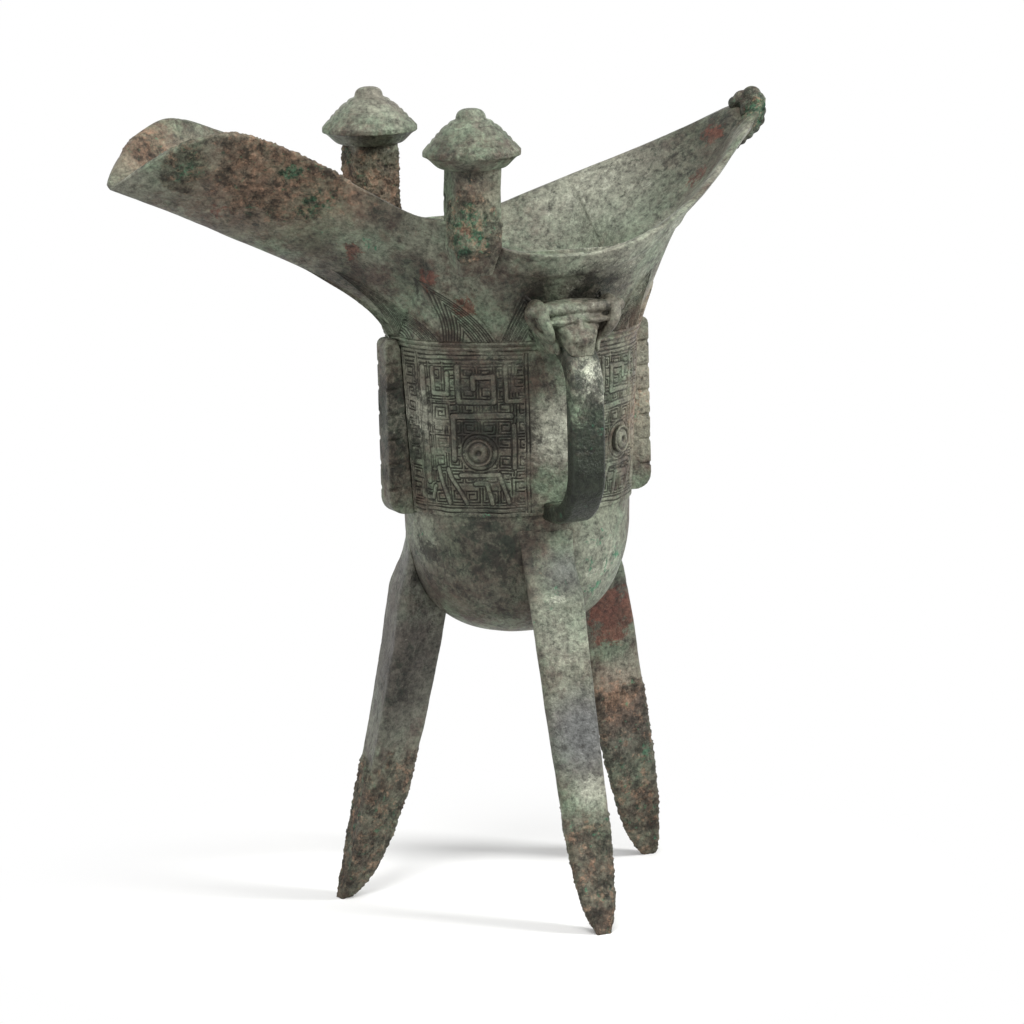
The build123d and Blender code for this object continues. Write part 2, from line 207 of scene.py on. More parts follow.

# %% [markdown]
# ## Where the ground left its marks, and where light and shade are painted
# Patina isn't even. Each mineral gathered where the soil, the metal and the hands that held the
# vessel let it, so we keep a short map of places: a mineral, a point on the vessel, how far it
# reaches and how strongly. A few of its pale and dark places are painted light and painted shade
# rather than minerals: painted shade under the rim over the ox head and on the inner face of the
# spout-side leg, a painted highlight on the strap's top, and painted light on the neck under the
# tail. Every piece reads the same map, so a patch runs on from the spout over the neck without a
# seam. The materials turn these soft fields into ragged patches.

# %% The map of minerals, and of painted light and shade
# For each layer, a mineral or painted light and shade, its places: x, y and z of the middle, radius, all in
# millimetres, and strength
mineral_and_painted_light_places = {
    "red": (
        (-24, -23, 156, 7, 1.0), (-31, -19, 163, 7, 0.9), (-48, -12, 171, 6, 0.9), (-26, -22, 151, 5, 1.0),
        (-80, -7, 183, 6, 0.8), (29, 7, 68, 15, 1.1), (-28, -38, 178, 7, 0.7), (10, -40, 163, 5, 0.8),
        (36, 0, 112, 6, 0.6), (-2, -45, 146, 6, 0.7), (60, 5, 191, 8, 0.9), (53, 0, 181, 7, 0.9),
        (-26, 34, 190, 6, 0.5)),
    "green": (
        (-66, -19, 193, 7, 0.9), (-90, -13, 194, 6, 0.8), (-59, -16, 184, 12, 0.8),
        (-28, -38, 178, 11, 0.9), (-44, -16, 173, 8, 0.6), (67, -6, 197, 9, 1.0), (-2, -45, 126, 13, 0.5),
        (-3, -40, 106, 10, 0.5), (-20, -24, 106, 10, 0.6), (-31, -4, 96, 12, 0.6), (36, -2, 122, 10, 0.5),
        (-20, -30, 150, 7, 0.5), (13, -22, 88, 22, 0.6), (-3, -33, 82, 16, 0.5), (-58, -12, 176, 12, 0.5)),
    "buff": (
        (30, 8, 46, 14, 0.9), (-70, -18, 192, 28, 0.9), (-55, -20, 188, 18, 0.8), (-24, 32, 180, 16, 0.9),
        (-92, 12, 196, 18, 0.9), (28, -14, 152, 16, 0.8), (30, -10, 125, 20, 0.8), (-25, -40, 186, 8, 0.5),
        (33, 0, 140, 7, 0.6)),
    "dark": (
        (29, 7, 70, 14, 0.7), (-84, -12, 189, 9, 0.6), (-74, -8, 180, 12, 0.8), (-48, -6, 164, 14, 0.9),
        (-43, -22, 182, 8, 0.9), (-33, -17, 166, 10, 0.9), (-16, -22, 128, 22, 0.9),
        # (8, -34, 160) and (-10, -32, 160) are painted shade under the rim's overhang, over the ox head
        (-12, -20, 80, 14, 0.6), (-22, -16, 101, 9, 0.7), (60, 6, 191, 18, 0.9), (8, -34, 160, 14, 1.0),
        (-10, -32, 160, 12, 0.9), (-37, 0, 125, 26, 1.0), (-43, 0, 122, 12, 1.6), (0, -47, 110, 22, 1.2),
        # (-34, 4, 60) is painted shade on the inner face of the spout-side leg
        (-1, -38, 146, 5, 0.7), (-100, 0, 186, 10, 0.4), (-24, -34, 193, 6, 0.9), (-34, 4, 60, 24, 1.0),
        (50, 12, 178, 16, 0.5), (-28, -38, 190, 8, 0.7), (-20, -34, 172, 9, 0.6), (-18, -22, 94, 26, 1.0),
        (-30, -6, 88, 18, 0.8), (46, 14, 184, 18, 0.5), (0, -34, 84, 12, 0.6), (-36, 6, 78, 16, 0.6)),
    "pale": (
        (-24, 32, 178, 9, 0.5), (36, 24, 178, 32, 1.0), (-29, -4, 96, 12, 0.6), (13, -22, 89, 18, 0.7),
        (-30, -7, 128, 12, 1.3), (0, -41, 35, 7, 1.2), (-3, -33, 76, 18, 0.6), (10, -40, 168, 26, 0.8),
        (0, -27, 124, 13, 1.3), (-24, -32, 203, 13, 0.4), (-24, 32, 201, 16, 0.6), (37, 0, 128, 22, 0.8),
        # (3, -46, 139) is a painted highlight on the top bend of the strap
        (6, -36, 157, 5, 1.0), (3, -46, 139, 9, 1.6), (32, 6, 52, 8, 0.8), (-105, -8, 192, 8, 0.7),
        (-49, 22, 183, 12, 0.6), (30, -36, 174, 9, 1.0), (48, -27, 182, 10, 1.1), (61, -12, 189, 8, 1.0),
        # (44, -8, 162) and (36, -18, 156) are painted light on the shaded neck under the tail
        (20, 18, 176, 22, 1.0), (44, -8, 162, 22, 1.2), (36, -18, 156, 16, 1.1)),
    "rough": (
        (-68, -20, 193, 27, 1.1), (-92, -14, 194, 14, 0.8), (-28, -38, 178, 14, 1.2),
        (-24, -32, 188, 9, 0.8), (-24, 32, 182, 18, 1.1), (67, -6, 197, 9, 1.2), (31, -8, 152, 10, 0.6),
        (-92, 12, 196, 14, 0.6)),
    "lead": (
        (0, -42, 50, 17, 1.3), (0, -30, 89, 9, 0.9), (-34, 8, 62, 30, 0.7), (34, 14, 40, 24, 0.4),
        (-28, 8, 84, 14, 0.6), (30, 10, 74, 16, 0.3)),
}


# A place has its full strength within this share of its radius. The rough foot of a piece ends
# softly, this many millimetres under and over its height, which is far below the floor by default.
full_share, rough_edge = 0.15, 17
no_rough_foot = -60.0


def weather(made, rough_below=no_rough_foot):
    """Stores how strongly each layer of the map, its minerals and its painted light and shade, reaches every
    point of a piece.
    """
    points = points_of(made.data)
    low, high = points.min(axis=0), points.max(axis=0)
    for map_layer, places in mineral_and_painted_light_places.items():
        field = np.zeros(len(points))
        for x, y, z, radius, strength in places:
            middle = np.array((x, y, z))
            if np.all(middle > low - radius) and np.all(middle < high + radius):
                away = np.linalg.norm(points - middle, axis=1)
                field = np.maximum(field, strength * soft_step(away, radius, radius * full_share))
        if map_layer == "rough":
            edge = rough_below + rough_edge, rough_below - rough_edge
            field = np.maximum(field, soft_step(points[:, 2], *edge))
        set_layer(made.data, map_layer, field)


print(sum(len(places) for places in mineral_and_painted_light_places.values()), "places on the map of minerals")

# %% [markdown]
# ## The skin of an old casting
# No cast surface is smooth: clay left faint swellings, burial ate pits, and mineral crusts grew
# on top. A Geometry Nodes tree moves every point along its normal by layers of noise and stores
# where crust grew, so the material can colour exactly those places. One tree serves every
# piece but the beads; only its inputs differ. Its scales are patches per metre: 430 to the
# metre are pits a little over 2 mm apart.

# %% The skin tree
def geometry_tree(name, inputs):
    """A new tree with geometry going in and out and named inputs, and what its inputs give."""
    tree = bpy.data.node_groups.new(name, "GeometryNodeTree")
    tree.interface.new_socket("Geometry", in_out="OUTPUT", socket_type="NodeSocketGeometry")
    tree.interface.new_socket("Geometry", in_out="INPUT", socket_type="NodeSocketGeometry")
    for item in inputs:
        tree.interface.new_socket(item, in_out="INPUT", socket_type="NodeSocketFloat")
    return tree, add(tree, "NodeGroupInput").outputs


def skin_tree():
    """Builds the tree that swells, pits and crusts a mesh along its normals."""
    tree, given = geometry_tree("cast_skin", ("Swell", "Pit depth", "Crust height"))
    spot = add(tree, "GeometryNodeInputPosition").outputs[0]
    normal = add(tree, "GeometryNodeInputNormal").outputs[0]
    rough = add(tree, "GeometryNodeInputNamedAttribute", {"Name": "rough"}, data_type="FLOAT").outputs[0]

    def patches(per_metre, detail, roughness):
        """Noise with about that many patches to the metre."""
        return add(tree, "ShaderNodeTexNoise", {"Vector": spot, "Scale": per_metre, "Detail": detail,
                                                "Roughness": roughness}).outputs[0]

    def soft_mask(value, low, high):
        """Zero where a value is under low, one where it is over high, and smooth between."""
        return add(tree, "ShaderNodeMapRange", {"Value": value, "From Min": low, "From Max": high},
                   interpolation_type="SMOOTHSTEP").outputs[0]

    # Faint swellings go out and in, so their noise is centred on zero first
    centred = add(tree, "ShaderNodeMath", {0: patches(75, 2, 0.5), 1: 0.5}, operation="SUBTRACT").outputs[0]
    swell = add(tree, "ShaderNodeMath", {0: centred, 1: given["Swell"]}, operation="MULTIPLY").outputs[0]
    pit_field = soft_mask(patches(430, 4, 0.6), 0.58, 0.72)
    pits = add(tree, "ShaderNodeMath", {0: pit_field, 1: given["Pit depth"]}, operation="MULTIPLY").outputs[0]
    # The rough zone gets a ragged edge, and grains of two sizes stand in it
    torn = add(tree, "ShaderNodeMath", {0: patches(140, 5, 0.65), 1: 0.5}, operation="SUBTRACT").outputs[0]
    ragged = add(tree, "ShaderNodeMath", {0: torn, 1: 1.5, 2: rough}, operation="MULTIPLY_ADD").outputs[0]
    zone = soft_mask(ragged, 0.42, 0.58)
    coarse, fine = soft_mask(patches(520, 5, 0.7), 0.36, 0.68), soft_mask(patches(1300, 3, 0.7), 0.4, 0.7)
    grains = add(tree, "ShaderNodeMath", {0: coarse, 1: fine}, operation="ADD").outputs[0]
    crust = add(tree, "ShaderNodeMath", {0: zone, 1: grains}, operation="MULTIPLY").outputs[0]
    raised = add(tree, "ShaderNodeMath", {0: crust, 1: given["Crust height"], 2: swell},
                 operation="MULTIPLY_ADD").outputs[0]
    lift = add(tree, "ShaderNodeMath", {0: raised, 1: pits}, operation="SUBTRACT").outputs[0]
    shift = add(tree, "ShaderNodeVectorMath", {0: normal, "Scale": lift}, operation="SCALE").outputs[0]
    skin = add(tree, "GeometryNodeSetPosition", {"Geometry": given["Geometry"], "Offset": shift}).outputs[0]
    for layer, value in (("crust", zone), ("pits", pit_field)):
        skin = add(tree, "GeometryNodeStoreNamedAttribute", {"Geometry": skin, "Name": layer, "Value": value},
                   data_type="FLOAT", domain="POINT").outputs[0]
    add(tree, "NodeGroupOutput", {0: skin})
    return tree


cast_skin = skin_tree()


def set_inputs(modifier, values):
    """Sets a Geometry Nodes modifier's inputs by the names on its tree."""
    for item in modifier.node_group.interface.items_tree:
        if item.in_out == "INPUT" and item.name in values:
            modifier[item.identifier] = values[item.name]


# The looks stay inside the CAD model's box, by a hair
box_margin = 0.002
box_low, box_high = [(np.array(corner) - np.array((axis_x, axis_y, 0.0))) / MM for corner in cad_bounds]


def skinned(made, swell=0.3, pit=0.1, crust=0.22, rough_below=no_rough_foot):
    """Gives a mesh the cast and buried skin; sizes are in millimetres."""
    weather(made, rough_below)
    modifier = made.modifiers.new("skin", "NODES")
    modifier.node_group = cast_skin
    set_inputs(modifier, {"Swell": swell * MM, "Pit depth": pit * MM, "Crust height": crust * MM})
    plain(made)
    kept_in = np.clip(points_of(made.data), box_low + box_margin, box_high - box_margin)
    made.data.vertices.foreach_set("co", to_frame(kept_in).ravel())
    return made


print("skin tree:", len(cast_skin.nodes), "nodes")

# %% [markdown]
# ## The patina
# Bronze patina is a stack of minerals. Next to the metal lies red cuprite; over it, smooth
# grey-green copper carbonates and tin oxide keep the cast surface; bright malachite sits on top
# in crystals; and buff earth clings in the roughest places. Old hands and wax give the smooth
# parts a soft sheen. We stack the same layers. Each has a noise mask whose scale comes from the
# real size of its patches, and the map of minerals pushes that mask up where it says so. The
# map's pale and dark places also carry painted light and painted shade into the colour.

# %% The patina material
tones = {
    "celadon": "6a6c5d", "pale": "a0a292", "brown": "483e35", "dark": "211f1a", "green black": "20291f",
    "cuprite": "5a3328", "malachite": "3b6f54", "earth": "8d705b", "lead grey": "5c5d5b",
    "verdigris": "687f67", "umber": "4c392f",
}


def patina(name, pale=0.0, dark=0.0, red=0.0, green=0.0, buff=0.0, metal=0.15, sheen=0.45, seed=0.0):
    """Patinated leaded bronze, with the map's painted light and shade; each share above zero widens that
    layer, below zero narrows it.
    """
    material = bpy.data.materials.new(name)
    material.use_nodes = True
    tree = material.node_tree
    tree.nodes.clear()
    spot = add(tree, "ShaderNodeTexCoord").outputs["Object"]
    place = add(tree, "ShaderNodeMapping", {"Vector": spot, "Location": (seed, seed * 0.7, -seed)}).outputs[0]

    field = {layer: add(tree, "ShaderNodeAttribute", attribute_name=layer).outputs["Fac"]
             for layer in ("red", "green", "buff", "dark", "pale", "lead", "crust", "pits", "relief")}

    def patches(size_mm, detail=6.0, roughness=0.7, twist=0.0):
        """Noise whose patches are about that many millimetres across."""
        return add(tree, "ShaderNodeTexNoise",
                   {"Vector": place, "Scale": 0.5 / (size_mm * MM), "Detail": detail,
                    "Roughness": roughness, "Distortion": twist}).outputs[0]

    def soft_mask(value, low, high, top=1.0):
        """Zero where a value is under low, top where it is over high, and smooth between."""
        return add(tree, "ShaderNodeMapRange",
                   {"Value": value, "From Min": low, "From Max": high, "To Max": top},
                   interpolation_type="SMOOTHSTEP").outputs[0]

    def over(below, above, mask, share=1.0):
        """Lays a tone, or a colour made before, over the one below, as far as a mask and a share let it."""
        top = linear(tones[above]) if isinstance(above, str) else above
        weak = add(tree, "ShaderNodeMath", {0: mask, 1: share}, operation="MULTIPLY").outputs[0]
        return add(tree, "ShaderNodeMix", {0: weak, 6: below, 7: top}, data_type="RGBA").outputs[2]

    # The smooth layers, and an even breath of each map layer's colour where the map has it, painted light and
    # painted shade among them
    base = over(linear(tones["celadon"]), "brown", soft_mask(patches(7, 9, 0.8), 0.42, 0.60))
    base = over(base, "verdigris", soft_mask(patches(10, 8, 0.75), 0.47, 0.64, 0.52))
    base = over(base, "verdigris", field["green"], 0.45)
    base = over(base, "umber", soft_mask(patches(4.5, 8, 0.8), 0.54, 0.66, 0.55))
    for tone, map_layer, share in (("pale", "pale", 0.55), ("lead grey", "lead", 0.85),
                                 ("brown", "dark", 0.55), ("dark", "dark", 0.28), ("earth", "buff", 0.40)):
        base = over(base, tone, field[map_layer], share)

    # Ragged patches: noise over a threshold that the map, painted light and shade among its places, and the
    # share let down.
    # Tone, map layer, size of the patches in millimetres, threshold, share, strength, the map's push.
    for tone, map_layer, size_mm, low, share, top, push in (
            ("pale", "pale", 3.5, 0.67, pale, 0.6, 0.16),
            ("dark", "dark", 4, 0.62, dark, 0.75, 0.15),
            ("green black", "dark", 1.6, 0.62, dark, 0.7, 0.13),
            ("earth", "buff", 2.2, 0.66, buff, 0.7, 0.20),
            ("cuprite", "red", 2.2, 0.68, red, 0.75, 0.28),
            ("malachite", "green", 1.8, 0.68, green, 0.85, 0.24)):
        noise = patches(size_mm, 10, 0.78, 0.4)
        pushed = add(tree, "ShaderNodeMath", {0: field[map_layer], 1: push, 2: noise},
                     operation="MULTIPLY_ADD").outputs[0]
        gathered = soft_mask(pushed, low - 0.1 * share, low + 0.07 - 0.1 * share, top)
        base = over(base, tone, gathered)
    bright = gathered

    # Crust is earth, dark grit and malachite in grains, over a browner ground
    earthy = over(base, "brown", 0.45)
    for tone, size_mm, low, high, top in (("earth", 1.4, 0.50, 0.64, 0.7), ("dark", 1.8, 0.48, 0.60, 0.9),
                                          ("malachite", 1.6, 0.57, 0.66, 0.7)):
        earthy = over(earthy, tone, soft_mask(patches(size_mm, 6, 0.8), low, high, top))
    base = over(base, earthy, field["crust"], 0.85)

    # Fine specks, then light and dark mottling, then dirt in pits and grooves
    base = over(base, "dark", soft_mask(patches(1.1, 5, 0.7), 0.58, 0.68, 0.45))
    base = over(base, "dark", soft_mask(patches(0.5, 3, 0.7), 0.62, 0.72, 0.40))
    mottle = add(tree, "ShaderNodeMath", {0: patches(0.6, 4, 0.75), 1: 0.8, 2: patches(1.9, 9, 0.82)},
                 operation="MULTIPLY_ADD").outputs[0]
    shade = add(tree, "ShaderNodeMapRange", {"Value": mottle, "From Min": 0.68, "From Max": 1.14,
                                             "To Min": 0.24, "To Max": 1.80}).outputs[0]
    base = add(tree, "ShaderNodeMix", {0: 1.0, 6: base, 7: shade}, data_type="RGBA",
               blend_type="MULTIPLY").outputs[2]
    base = over(base, "dark", field["pits"], 0.7)
    base = over(base, "dark", soft_mask(field["relief"], 0.03, 0.30, 0.75))
    base = over(base, "pale", soft_mask(field["relief"], -0.01, -0.06, 0.10),
                soft_mask(patches(4, 8, 0.8), 0.40, 0.58))

    rough = add(tree, "ShaderNodeMapRange", {"Value": patches(4), "From Min": 0.35, "From Max": 0.65,
                                             "To Min": sheen - 0.06, "To Max": sheen + 0.16}).outputs[0]
    matt = add(tree, "ShaderNodeMath", {0: field["crust"], 1: bright}, operation="ADD").outputs[0]
    rough = add(tree, "ShaderNodeMath", {0: matt, 1: 0.25, 2: rough}, operation="MULTIPLY_ADD",
                use_clamp=True).outputs[0]
    grain = add(tree, "ShaderNodeMath", {0: patches(2.4, 6, 0.7), 1: 1.6, 2: patches(0.6, 4, 0.7)},
                operation="MULTIPLY_ADD").outputs[0]
    bump = add(tree, "ShaderNodeBump", {"Strength": 0.75, "Distance": 0.4 * MM, "Height": grain}).outputs[0]
    shader = add(tree, "ShaderNodeBsdfPrincipled",
                 {"Base Color": base, "Roughness": rough, "Metallic": metal, "Specular IOR Level": 0.3,
                  "Normal": bump})
    add(tree, "ShaderNodeOutputMaterial", {"Surface": shader.outputs[0]})
    return material


# Body, band, legs, posts, caps, strap and flanges: one metal, each with its own burial
body_patina = patina("patinated_leaded_bronze_body")
band_patina = patina("patinated_leaded_bronze_band", pale=-0.2, dark=0.15, red=-0.3, green=-0.1, buff=-0.2)
leg_patina = patina("patinated_leaded_bronze_legs", pale=0.1, dark=-0.3, seed=0.4)
post_patina = patina("encrusted_bronze_posts", pale=-0.3, dark=0.2, red=0.3, green=0.2, buff=0.3, sheen=0.55)
cap_patina = patina("patinated_leaded_bronze_caps", dark=0.3, red=-0.2, green=-0.4, seed=0.2)
# The strap's pale share also lets the painted highlight on its top bend show
strap_patina = patina("handled_dark_bronze_strap_painted_highlight", pale=0.5, dark=1.5, green=-0.2, buff=-1.0, metal=0.3,
                      sheen=0.28)
eye_patina = patina("rubbed_bronze_eyes", pale=0.5, dark=-0.4, sheen=0.36, seed=0.3)
flange_patina = patina("dark_patinated_bronze_flanges", pale=-0.2, dark=0.1, seed=0.6)
print("materials:", len(bpy.data.materials))

# %% [markdown]
# ## Pieces that keep their CAD form
# Legs, posts, caps, strap, ox head and flanges already have their true outlines in the frame. A
# CAD node may not be changed, so each is copied, its loose triangles are merged, and a voxel
# remesh lays an even net of small quads over it. That net also softens machine-sharp edges to
# the rounded ones of a casting, and gives the skin tree points to move. Before the skin, a piece
# may be carved: a small function that says how far each point moves.

# %% Remeshed castings
def lump_mesh(lumps):
    """One mesh of soft ellipsoids, from the middle and half sizes of each in millimetres."""
    work = bmesh.new()
    bmesh.ops.create_icosphere(work, subdivisions=3, radius=1.0)
    ball = np.array([v.co for v in work.verts])
    ball_faces = np.array([[v.index for v in f.verts] for f in work.faces])
    work.free()
    points = np.concatenate([np.array(middle) + ball * np.array(half_sizes) for middle, half_sizes in lumps])
    faces = np.concatenate([ball_faces + len(ball) * k for k in range(len(lumps))])
    mesh = bpy.data.meshes.new("lumps")
    mesh.from_pydata(to_frame(points).tolist(), [], faces.tolist())
    return mesh


def casting(name, nodes, material, slot, voxel=0.42, smoothing=3, lumps=None, carve=None, **skin):
    """A finely meshed copy of CAD nodes, fused with lumps and carved, with the skin of a casting."""
    work = bmesh.new()
    for node in nodes:
        work.from_mesh(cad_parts[node].data)
    bmesh.ops.remove_doubles(work, verts=work.verts, dist=merge_distance * MM)
    if lumps:
        work.from_mesh(lump_mesh(lumps))
    mesh = bpy.data.meshes.new(name)
    work.to_mesh(mesh)
    work.free()
    made = placed(name, mesh)
    remesh = made.modifiers.new("net", "REMESH")
    remesh.mode, remesh.voxel_size = "VOXEL", voxel * MM
    soften = made.modifiers.new("soften", "SMOOTH")
    soften.factor, soften.iterations = 0.5, smoothing
    plain(made)
    if carve:
        made.data.vertices.foreach_set("co", to_frame(carve(points_of(made.data))).ravel())
    skinned(made, **skin)
    finish_piece(made, material, nodes)
    return made


def finish_piece(made, material, nodes):
    """Material, body and the CAD nodes that a finished piece stands for."""
    made.data.materials.clear()
    made.data.materials.append(material)
    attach(made, "root")
    if nodes:
        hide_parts(*nodes)
    print(made.name, len(made.data.polygons), "faces")


for name in ("flange_spout", "flange_tail", "flange_back"):
    casting(name + "_cast", [name], flange_patina, "cast_bronze_flanges", voxel=0.26, smoothing=1, pit=0.2)
casting("handle_strap_cast", ["handle_strap"], strap_patina, "cast_bronze_handle", voxel=0.32, swell=0.5,
        pit=0.1)

# %% [markdown]
# ## Legs that melt into the bowl
# In the mould a leg and the bowl were one hollow, so there is no seam: the flat outer face runs
# out over the bowl's curve. Near its root we press each leg's points towards the bowl.

# %% Legs
bowl_bottom_height, bowl_floor = 69.5, 3.2
band_bottom_height, band_top_height = 103.0, 145.0
band_bottom_radius, band_middle_radius, band_top_radius = 29.8, 31.0, 32.2
bowl_width_share = 0.875
wall = 2.4
bowl_profile_shares = ((0.0, -0.012), (0.20, 0.0), (0.38, 0.028), (0.56, 0.09), (0.71, 0.185), (0.83, 0.32),
                       (0.915, 0.48), (0.965, 0.64), (0.99, 0.80), (1.0, 1.0))
melt_from_height, melt_to_height, melt_share = 80.0, 98.0, 0.86


def melted(points):
    """Draws the part of a leg that lies on the bowl in towards the bowl's surface."""
    out, up = np.array(bowl_profile_shares).T
    share = (points[:, 2] - bowl_bottom_height) / (band_bottom_height - bowl_bottom_height)
    surface = np.interp(share, up, out) * (band_bottom_radius - 0.5)
    reach = np.hypot(points[:, 0], points[:, 1] / bowl_width_share)
    press = melt_share * soft_step(points[:, 2], melt_from_height, melt_to_height)
    wanted = reach - np.maximum(reach - surface, 0.0) * press
    moved = points.copy()
    moved[:, :2] *= (wanted / np.maximum(reach, 1.0))[:, None]
    return moved


# Each leg, and how high up the soil's crust reaches on it, in millimetres
for name, crusted_below in (("front", 31.0), ("spout_side", 36.0), ("tail_side", 46.0)):
    casting(name + "_leg", ["leg_" + name], leg_patina, "cast_bronze_legs", carve=melted,
            rough_below=crusted_below, swell=0.7, pit=0.14, crust=0.36)

# %% [markdown]
# ## Posts and caps
# Each cap was turned in the mould's clay, which left fine rings on its cone, and long burial
# nibbled at its thin edge. Rings are grooves over the radius; nibbles are a sum of waves
# round the edge, so that no two places are alike.

# %% Posts and caps
post_spread, post_setback = 32.2, 24.0
cap_radius, cap_edge_height, cap_knob_radius = 12.1, 196.3, 3.6
ring_radii = (10.2, 9.0, 7.9, 5.8)
ring_depth, ring_width = 0.36, 0.34
nick_depth = 1.1
# The cone is hollowed a little between knob and edge, and its underside slopes down to the post
cone_hollow, underside_drop, post_reach = 0.9, 3.0, 7.6


def ringed(side):
    """A carving for the cap on one side: rings on its cone and a nibbled edge."""
    def carve(points):
        """Moves the cap's points for its rings, its hollow cone, its underside and its nicks."""
        away = points[:, :2] - np.array((-post_setback, side * post_spread))
        radius = np.hypot(away[:, 0], away[:, 1])
        turn = np.arctan2(away[:, 1], away[:, 0])
        top = soft_step(points[:, 2], cap_edge_height - 0.2, cap_edge_height + 0.6)
        groove = sum(np.exp(-((radius - ring) / ring_width) ** 2) for ring in ring_radii)
        waves = np.sin(3 * turn + side) * np.sin(7 * turn + 1.3)
        waves = waves + 0.6 * np.sin(17 * turn) * np.sin(5 * turn)
        nick = nick_depth * np.clip(waves - 0.35, 0, 1) * soft_step(radius, cap_radius - 2.0, cap_radius)
        moved = points.copy()
        across = np.clip((radius - cap_knob_radius) / (cap_radius - cap_knob_radius), 0, 1)
        moved[:, 2] -= (ring_depth * groove + cone_hollow * np.sin(math.pi * across)) * top
        moved[:, 2] -= underside_drop * (1 - top) * soft_step(radius, cap_radius, post_reach)
        moved[:, :2] -= away / np.maximum(radius, 0.1)[:, None] * nick[:, None]
        return moved
    return carve


for name, side in (("near", -1), ("far", 1)):
    casting("post_" + name + "_cast", ["post_" + name], post_patina, "cast_bronze_posts", voxel=0.32,
            swell=1.1, pit=0.22, crust=0.42)
    casting("cap_" + name + "_cast", ["cap_" + name], cap_patina, "cast_bronze_caps", voxel=0.24,
            smoothing=2, swell=0.5, pit=0.14, carve=ringed(side))

# %% [markdown]
# ## The ox head
# Over the handle an ox head bites the strap. Its block comes from the frame; we press soft lumps
# of clay onto it, as the mould maker did: a brow ledge, bulging eyes, a drooping muzzle with
# nostrils, and cheek ridges that draw in towards the strap. The remesh fuses them into one form.

# %% Ox head
def ridge(start, end, radius, count=9):
    """Lumps in a row that make a soft straight ridge."""
    steps = np.linspace(0, 1, count)[:, None]
    return [(tuple(spot), (radius,) * 3) for spot in np.array(start) * (1 - steps) + np.array(end) * steps]


# Middle and half sizes in millimetres: skull, forehead, horn ledge, muzzle, ridge of the nose and jaw
ox_lumps = [((0, -34.0, 152.0), (9.8, 6.0, 5.4)), ((0, -37.0, 154.0), (9.4, 3.5, 3.0)),
            ((0, -36.2, 156.3), (10.6, 4.6, 2.0)), ((0, -40.0, 148.6), (4.9, 3.0, 2.5)),
            ((0, -38.9, 151.8), (1.5, 2.6, 3.4)), ((0, -37.2, 144.6), (4.6, 2.2, 2.0))]
for side in (-1, 1):
    ox_lumps += [((side * 4.6, -39.3, 151.2), (1.9, 1.5, 1.3)), ((side * 5.2, -39.4, 153.4), (3.9, 2.0, 0.9)),
                 ((side * 2.9, -42.2, 149.0), (1.1, 0.8, 0.9)), ((side * 4.0, -38.6, 148.0), (2.4, 3.0, 2.6))]
    ox_lumps += ridge((side * 9.6, -37.2, 155.2), (side * 8.2, -38.4, 146.2), 1.15)
    ox_lumps += ridge((side * 3.6, -39.4, 156.6), (side * 11.8, -38.0, 156.3), 1.6, 11)


def drawn_in(points):
    """Narrows the head from its wide brow down to the strap."""
    moved = points.copy()
    moved[:, 0] *= 1 - 0.36 * soft_step(points[:, 2], 155.5, 146.0)
    return moved


casting("ox_head_cast", ["ox_head"], body_patina, "cast_bronze_handle", voxel=0.26, smoothing=1,
        lumps=ox_lumps, carve=drawn_in, swell=0.5, pit=0.14)

# %% [markdown]
# ## The crust on the tail's point
# Where the tail's point lay in a wet pocket, malachite and earth grew into a knotted lump that
# covers the point and runs down its outer edge. Soft balls of shrinking size follow that edge.

# %% Tail crust
# Middle and size of each knot in millimetres
tip_knots = (
    (68.2, 4.0, 199.4, 2.5), (69.9, 2.2, 200.4, 2.7), (70.2, 0.0, 199.4, 2.5), (66.8, 5.6, 198.4, 1.7),
    (68.6, 0.6, 197.0, 2.8), (69.4, -2.2, 198.6, 2.1), (67.8, -3.8, 197.2, 1.7),
    (70.9, -0.2, 196.8, 1.9), (70.2, -0.4, 194.6, 1.9), (68.6, -0.7, 192.8, 1.8),
    (66.8, -0.9, 191.2, 1.6), (65.0, -1.0, 189.7, 1.3), (63.4, -1.0, 188.3, 1.0),
)
tip_patina = patina("malachite_crusted_bronze", pale=-1.0, dark=1.0, green=1.0, red=0.2, sheen=0.5)
casting("tail_crust", [], tip_patina, "cast_bronze_body", voxel=0.3, smoothing=5,
        lumps=[((x, y, z), (r, r, r)) for x, y, z, r in tip_knots], swell=1.8, pit=0.25, crust=0.3)

# %% [markdown]
# ## The hull: spout, mouth and tail
# Above the band the vessel is a boat whose two sides grow out of an oval neck. Seen across, each
# station is a U that leaves the neck's outline and flares to the rim; the rim itself is one long
# wave from the spout's tongue to the tail's point. We compute both sides as grids from the same
# few tables of shares that the CAD model uses, an inner skin a wall's thickness away, and a
# rounded lip between them.

# %% Sizes of the hull, in millimetres
spout_reach, tail_reach = 105.8, 72.8
mouth_half_width = 41.2
spout_keel_tip_height, tail_keel_tip_height = 189.4, 196.4
rim_lowest_height, spout_crest_height, tail_tip_height = 169.4, 203.0, 200.8
spout_lip_depth, tail_lip_depth = 25.0, 4.0
keel_slope_factor, knee_factor = 1.15, 3.0
rim_band_height, rim_band_proud = 6.2, 1.3

